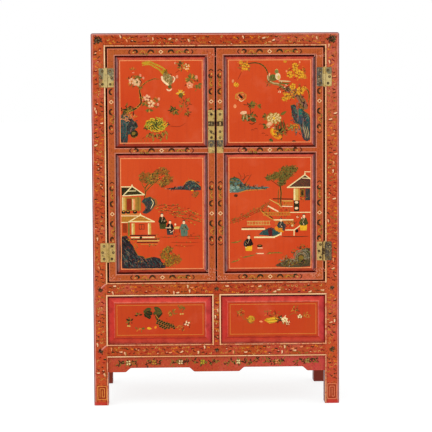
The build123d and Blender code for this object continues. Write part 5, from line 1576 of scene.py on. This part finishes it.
def scene_on(name, body, field, inset, height, draw, material, line, line_width):
    """Rules a line round a field and draws a scene inside it; field is left, top, right, bottom.

    height is how many of its own units the scene is tall, or None if they are square."""
    left, top, right, bottom = field
    wide = (right - left - 2 * inset) / SCENE_WIDTH
    tall = (top - bottom - 2 * inset) / height if height else wide
    p = Painting(name, left + inset, top - inset, wide, tall, FRONT + FIELD_SET)
    draw(p)
    p.frame(0, 0, SCENE_WIDTH, (top - bottom - 2 * inset) / tall, line_width / wide, line)
    p.finish(body, material)


def door_paintings(material):
    drawings = {("left", "upper"): draw_upper_left, ("right", "upper"): draw_upper_right,
                ("left", "lower"): draw_lower_left, ("right", "lower"): draw_lower_right}
    for (name, panel), draw in drawings.items():
        left, top, right, bottom = opening(name, panel)
        field = (left + DOOR_BEVEL, top - DOOR_BEVEL, right - DOOR_BEVEL, bottom + DOOR_BEVEL)
        height = UPPER_HEIGHT if panel == "upper" else LOWER_HEIGHT
        scene_on(f"painting_{name}_door_{panel}", f"{name}_door", field, DOOR_LINE, height, draw, material,
                 SALMON, DOOR_LINE_WIDTH)


def lower_opening(name):
    """The left, top, right and bottom of a lower panel's opening."""
    left, right = (-INNER, -MUNTIN) if name == "left" else (MUNTIN, INNER)
    return (left, MIDDLE_RAIL_FOOT, right, STORE_SILL)


def lower_paintings(material):
    for name, draw in (("left", draw_grapes), ("right", draw_fruit)):
        left, top, right, bottom = lower_opening(name)
        field = (left + FIXED_BEVEL, top - FIXED_BEVEL, right - FIXED_BEVEL, bottom + FIXED_BEVEL)
        scene_on(f"painting_lower_{name}", "cabinet", field, FIXED_LINE, None, draw, material,
                 rgb(218, 136, 62), FIXED_LINE_WIDTH)
    p = Painting("painting_apron", -INNER, BOTTOM_RAIL_FOOT, MM, MM, FRONT + APRON_SET)
    draw_apron(p)
    p.finish("cabinet", material)


# ---------------------------------------------------------------- beads
BEAD_RISE = 0.9 * MM
BEAD_SIDES = 6
BROAD_BEAD = 5 * MM
FINE_BEAD = 3.8 * MM


def bead(vertices, faces, start, end, width):
    """Adds a low half-round strip on the frame's face; start and end are (x, z) at its middle."""
    a, b = Vector((start[0], FRONT, start[1])), Vector((end[0], FRONT, end[1]))
    along = (b - a).normalized()
    across = Vector((along.z, 0, -along.x))
    first = len(vertices)
    count = BEAD_SIDES + 1
    for centre in (a - along * width / 2, b + along * width / 2):
        for k in range(count):
            angle = math.pi * k / BEAD_SIDES
            out = Vector((0, -BEAD_RISE * math.sin(angle) + SUNK, 0))
            vertices.append(tuple(centre + across * (width / 2 * math.cos(angle)) + out))
    for k in range(BEAD_SIDES):
        faces.append((first + k, first + k + 1, first + count + k + 1, first + count + k))
    faces.append((first, first + count, first + 2 * count - 1, first + count - 1))
    faces.append(tuple(first + k for k in range(count)))
    faces.append(tuple(first + count + k for k in reversed(range(count))))


def cream_beads(fresh, worn):
    """Painted beads along the inner edges of the posts, the rails and the muntin."""
    half = BEAD / 2
    outer, inner = INNER + half, MUNTIN - half
    under_top, over_doors = TOP_RAIL_FOOT + half, DOOR_SILL - half
    under_middle, over_store = MIDDLE_RAIL_FOOT + half, STORE_SILL - half
    under_bottom = BOTTOM_RAIL_FOOT + half
    rows = []
    for side in (-1, 1):
        edge = side * outer
        post = side * inner
        rows += [((edge, over_doors), (edge, under_top), BROAD_BEAD, fresh),
                 ((edge, over_store), (edge, under_middle), BROAD_BEAD, fresh if side < 0 else worn),
                 ((edge, half), (edge, under_bottom), FINE_BEAD, worn),
                 ((post, over_store), (post, under_middle), BROAD_BEAD, fresh),
                 ((post, under_middle), (edge, under_middle), BROAD_BEAD, fresh),
                 ((post, over_store), (edge, over_store), FINE_BEAD, worn)]
    rows += [((-outer, under_top), (outer, under_top), FINE_BEAD, worn),
             ((-outer, over_doors), (outer, over_doors), FINE_BEAD, worn),
             ((-outer, under_bottom), (outer, under_bottom), FINE_BEAD, fresh)]
    for name, material in (("cream_beads", fresh), ("worn_beads", worn)):
        vertices, faces = [], []
        for start, end, width, paint in rows:
            if paint == material:
                bead(vertices, faces, start, end, width)
        mesh_piece(name, vertices, faces, "cabinet", material)


# ---------------------------------------------------------------- finishes of the CAD nodes
def shades(*rows):
    """A band's colours and painted shading; a row is a distance in from the opening, in millimetres, and red,
    green, blue.
    """
    return [(distance, rgb(*colour)) for distance, *colour in rows]


# the door panels' margins, largely painted light and shade
DOOR_MARGIN_SHADING = {
    # left: painted shade in the groove, then mauve painted shade and reflection on the bevel
    "left": shades((0, 88, 40, 32), (3, 126, 80, 78), (6, 152, 110, 110), (10, 160, 98, 90),
                   (13, 148, 70, 52), (16, 134, 54, 32)),
    # right: painted shade in the groove, mauve on the bevel, and a pink painted highlight along its edge
    "right": shades((0, 88, 42, 34), (2.6, 112, 68, 64), (5, 148, 108, 108), (8, 112, 68, 68),
                    (10.6, 192, 112, 104), (13.4, 226, 134, 118), (16, 206, 96, 70)),
    # top: a painted shadow under the rail, then the lit bevel in pink-red
    "top": shades((0, 66, 14, 22), (5.6, 76, 18, 18), (7.4, 186, 64, 44), (12, 220, 88, 62),
                  (16, 228, 108, 76)),
    # bottom: painted shade in the groove along the rail
    "bottom": shades((0, 70, 14, 12), (5, 78, 16, 12), (7, 168, 64, 42), (12, 190, 70, 40),
                     (16, 184, 62, 30)),
}
# the lower panels' margins, largely painted light and shade
FIXED_MARGIN_SHADING = {
    # left: painted shade by the frame, and a painted highlight where the bevel meets the field
    "left": shades((0, 130, 30, 26), (3, 176, 44, 38), (6, 206, 62, 52), (24, 202, 52, 42),
                   (27, 222, 96, 80), (29, 208, 74, 44)),
    # right: painted shade by the frame, and a painted highlight where the bevel meets the field
    "right": shades((0, 110, 28, 28), (3, 160, 44, 44), (6, 204, 64, 64), (22, 210, 66, 60),
                    (27, 226, 112, 98), (29, 208, 74, 44)),
    # top: a painted shadow under the rail, and a painted highlight where the bevel meets the field
    "top": shades((0, 66, 14, 22), (5, 66, 14, 22), (7.4, 214, 62, 54), (22, 224, 74, 60),
                  (27, 230, 118, 96), (29, 208, 74, 44)),
    # bottom: a worn pale line by the bead, and a painted shadow under the field's step
    "bottom": shades((0, 214, 128, 106), (2.4, 196, 78, 64), (8, 208, 76, 58), (20, 204, 64, 42),
                     (24, 150, 36, 18), (26, 206, 72, 40), (29, 202, 62, 26)),
}


def panel_finishes():
    """The lacquer of each raised panel in front, by its node's name."""
    finishes = {}
    for name in ("left", "right"):
        for panel in ("upper", "lower"):
            finishes[f"door_{name}_panel_{panel}"] = panel_lacquer(
                f"{name}_door_{panel}_lacquer", RED, rgb(212, 78, 34), rgb(214, 88, 52),
                opening(name, panel), DOOR_BEVEL, DOOR_MARGIN_SHADING)
        finishes[f"lower_panel_{name}"] = panel_lacquer(
            f"lower_{name}_lacquer", rgb(196, 62, 24), rgb(196, 72, 28), rgb(206, 84, 54),
            lower_opening(name), FIXED_BEVEL, FIXED_MARGIN_SHADING)
    return finishes


HINGE_TOP = 1.3225  # heights of the hinges' middles
HINGE_FOOT = 0.6215
LEAF_WIDTH = 30 * MM
LOCK_MIDDLE = 17.5 * MM  # from the gap between the doors to the middle of a lock plate
LOCK_FOOT = 1.019
STAPLE_HEIGHT = 1.137
PULL_HEIGHT = 1.058


def nail_places():
    """The nails in each plate of brass, as x without its sign and z, by its node's name."""
    lock = [(LOCK_MIDDLE, LOCK_FOOT + rise * MM) for rise in (155.5, 86, 62)]
    places = {"lock_plate_left": lock, "lock_plate_right": lock}
    pin = high("hinge_leaves_post").x - LEAF_WIDTH
    for name, side in (("post", 1), ("left_door", -1), ("right_door", -1)):
        places[f"hinge_leaves_{name}"] = [
            (pin + side * out * MM, middle + rise * MM) for middle in (HINGE_TOP, HINGE_FOOT)
            for out, rise in ((21.5, 0), (15.5, -26), (15.5, 26))]
    return places


def brass_spots():
    """The larger stains, rubbed places, painted highlights and a painted shadow on the brass, by its node's
    name.
    """
    grey, dull, brown = rgb(92, 86, 78), rgb(132, 122, 92), rgb(70, 48, 18)
    # the next colour is rubbed bright brass, and in the narrow strips beside the upper hinges' knuckles a
    # painted highlight
    rubbed_and_glint = rgb(212, 188, 126)
    top, foot = HINGE_TOP, HINGE_FOOT
    leaf, tall = 22 * MM, 60 * MM
    spots = {
        "hinge_leaves_post": ((-INNER - 18 * MM, top + 14 * MM, 14 * MM, 26 * MM, dull),
                              (-INNER - 24 * MM, top - 14 * MM, 12 * MM, 26 * MM, rgb(150, 92, 60)),
                              # a narrow upright painted highlight beside the knuckle
                              (-INNER, top, 8 * MM, tall, rubbed_and_glint),
                              (INNER + 10 * MM, top - 12 * MM, leaf, 24 * MM, rubbed_and_glint),
                              (INNER + 18 * MM, top + 26 * MM, 14 * MM, 16 * MM, dull),
                              (INNER + 18 * MM, foot, leaf, tall, rgb(84, 72, 62))),
        "hinge_leaves_left_door": ((-INNER + 20 * MM, top + 12 * MM, leaf, 28 * MM, dull),
                                   (-INNER + 8 * MM, top - 16 * MM, 14 * MM, 30 * MM, rubbed_and_glint)),
        "hinge_leaves_right_door": ((INNER - 26 * MM, top, 20 * MM, tall, grey),
                                    # a narrow upright painted highlight beside the knuckle
                                    (INNER - 5 * MM, top, 6 * MM, tall, rubbed_and_glint),
                                    (INNER - 6 * MM, foot, 7 * MM, tall, brown)),
        "hinge_pins": (),
    }
    for name, middle in (("left", -LOCK_MIDDLE), ("right", LOCK_MIDDLE)):
        # the brown band at the staples' height is a painted shadow of the staples
        spots[f"lock_plate_{name}"] = ((middle, STAPLE_HEIGHT, 40 * MM, 10 * MM, brown),
                                       (middle, PULL_HEIGHT, 40 * MM, 14 * MM, grey))
    return spots


def brass_finishes():
    """The brass of each fitting, by its node's name, tarnished where the real one is, with painted glints and
    shadow.
    """
    nails = nail_places()
    finishes = {}
    for name, spots in brass_spots().items():
        finishes[name] = brass(f"brass_{name}", rgb(192, 160, 86), rgb(84, 72, 50), 0.05, spots,
                               nails.get(name, ()))
    dark = brass("brass_dark", rgb(124, 112, 84), rgb(58, 52, 40), 0.1)
    for name in ("staples_left", "staples_right", "pull_ring_left", "pull_ring_right"):
        finishes[name] = dark
    return finishes


def wood_finishes():
    """Bare wood with its grain along each board, by the node's name."""
    woods = {axis: bare_wood(f"bare_wood_{axis}", axis) for axis in "XYZ"}
    grain = {"back_boards_upper": "Z", "back_board_lower": "X", "stile_back": "Z", "shelf": "X",
             "shelf_battens": "Y", "floor_board_left": "X", "floor_board_right": "X",
             "floor_bearer": "Y", "bottom_board": "X", "top_batten": "Y"}
    return {name: woods[axis] for name, axis in grain.items()}


def dress_nodes():
    finishes = {**panel_finishes(), **brass_finishes(), **wood_finishes()}
    posts = frame_lacquer("post_lacquer", FRAME_RED, rgb(198, 84, 40), post_inward)
    rails = frame_lacquer("rail_lacquer", rgb(180, 58, 26), rgb(184, 76, 28), rail_inward)
    doors = door_frame_lacquer("door_frame_lacquer")
    apron = apron_lacquer("apron_lacquer")
    plain = plain_lacquer("plain_lacquer")
    nail = brass("nail_brass", rgb(104, 82, 42), rgb(40, 28, 14), 0.12)
    for name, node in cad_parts.items():
        if name in finishes:
            finish = finishes[name]
        elif "nails" in name:
            finish = nail
        elif name.startswith("post_"):
            finish = posts
        elif name.startswith("door_"):
            finish = doors
        elif name == "apron_front":
            finish = apron
        elif "side_panel" in name or name == "top_board":
            finish = plain
        else:
            finish = rails
        node.data.materials.clear()
        node.data.materials.append(finish)
        for face in node.data.polygons:
            face.material_index = 0


# ---------------------------------------------------------------- floor, light and camera
FLOOR_RADIUS = 60.0
FLOOR_SIDES = 96
FLOOR_GLOW = 0.785  # brings the floor up to the photo's white without a visible horizon


def pale_floor():
    """A broad pale floor, a flat disc with a matt surface that glows."""
    rim = [polar(0, 0, FLOOR_RADIUS, 360 * k / FLOOR_SIDES) for k in range(FLOOR_SIDES)]
    mesh = bpy.data.meshes.new("floor")
    mesh.from_pydata([(x, y, 0.0) for x, y in rim], [], [list(range(FLOOR_SIDES))])
    floor = bpy.data.objects.new("floor", mesh)
    bpy.context.scene.collection.objects.link(floor)
    s = Shader("floor")
    tone = s.mix(s.between(s.noise(3), 0.3, 0.7), (0.27, 0.29, 0.29, 1), (0.25, 0.27, 0.275, 1))
    mesh.materials.append(s.done(tone, 0.8, Specular_IOR_Level=0.1, Emission_Strength=FLOOR_GLOW,
                                 Emission_Color=(1.0, 1.0, 1.0, 1.0)))


def studio_light():
    world = bpy.data.worlds.new("studio")
    world.use_nodes = True
    background = world.node_tree.nodes["Background"]
    background.inputs["Color"].default_value = (1.0, 1.0, 1.0, 1.0)
    background.inputs["Strength"].default_value = 1.0
    bpy.context.scene.world = world
    lamp = bpy.data.lights.new("key", "SUN")
    lamp.energy = 0.9
    lamp.angle = math.radians(60)
    key = bpy.data.objects.new("key", lamp)
    bpy.context.scene.collection.objects.link(key)
    toward = Vector((0.35, 0.75, -0.75))
    key.rotation_mode = "QUATERNION"
    key.rotation_quaternion = toward.to_track_quat("-Z", "Y")
    bpy.context.scene.view_settings.view_transform = "Standard"


CAMERA_PLACE = (-0.193, FRONT - 5.5535, 1.2474)
CAMERA_TURN = (0.0233, 0.06139, -0.00579)  # yaw, pitch and roll, in radians
LENS = 115.53
LENS_SHIFT = (0.0368, -0.0801)


def place_camera():
    """The photo's view: a long lens, a little to the left of the middle and above the locks."""
    yaw, pitch, roll = CAMERA_TURN
    ahead = Vector((math.sin(yaw) * math.cos(pitch), math.cos(yaw) * math.cos(pitch), -math.sin(pitch)))
    level_right = Vector((math.cos(yaw), -math.sin(yaw), 0))
    level_up = level_right.cross(ahead)
    right = math.cos(roll) * level_right + math.sin(roll) * level_up
    up = math.cos(roll) * level_up - math.sin(roll) * level_right
    lens = bpy.data.cameras.new("camera")
    lens.lens = LENS
    lens.sensor_width = 36
    lens.shift_x, lens.shift_y = LENS_SHIFT
    camera = bpy.data.objects.new("camera", lens)
    bpy.context.scene.collection.objects.link(camera)
    turn = Matrix((right, up, -ahead)).transposed().to_4x4()
    camera.matrix_world = Matrix.Translation(CAMERA_PLACE) @ turn
    bpy.context.scene.camera = camera


# ---------------------------------------------------------------- the whole
place_camera()
studio_light()
pale_floor()
dress_nodes()
scene_paint = painted("scene_paint", RED, 0.02)
border_paint = painted("border_paint", FRAME_RED, 0.06)
door_paintings(scene_paint)
lower_paintings(scene_paint)
carcass_borders(border_paint)
for name in ("left", "right"):
    door_borders(name, border_paint)
cream_beads(bead_paint("bead_paint", CREAM, 0.0), bead_paint("worn_bead_paint", rgb(232, 166, 126), 0.1))
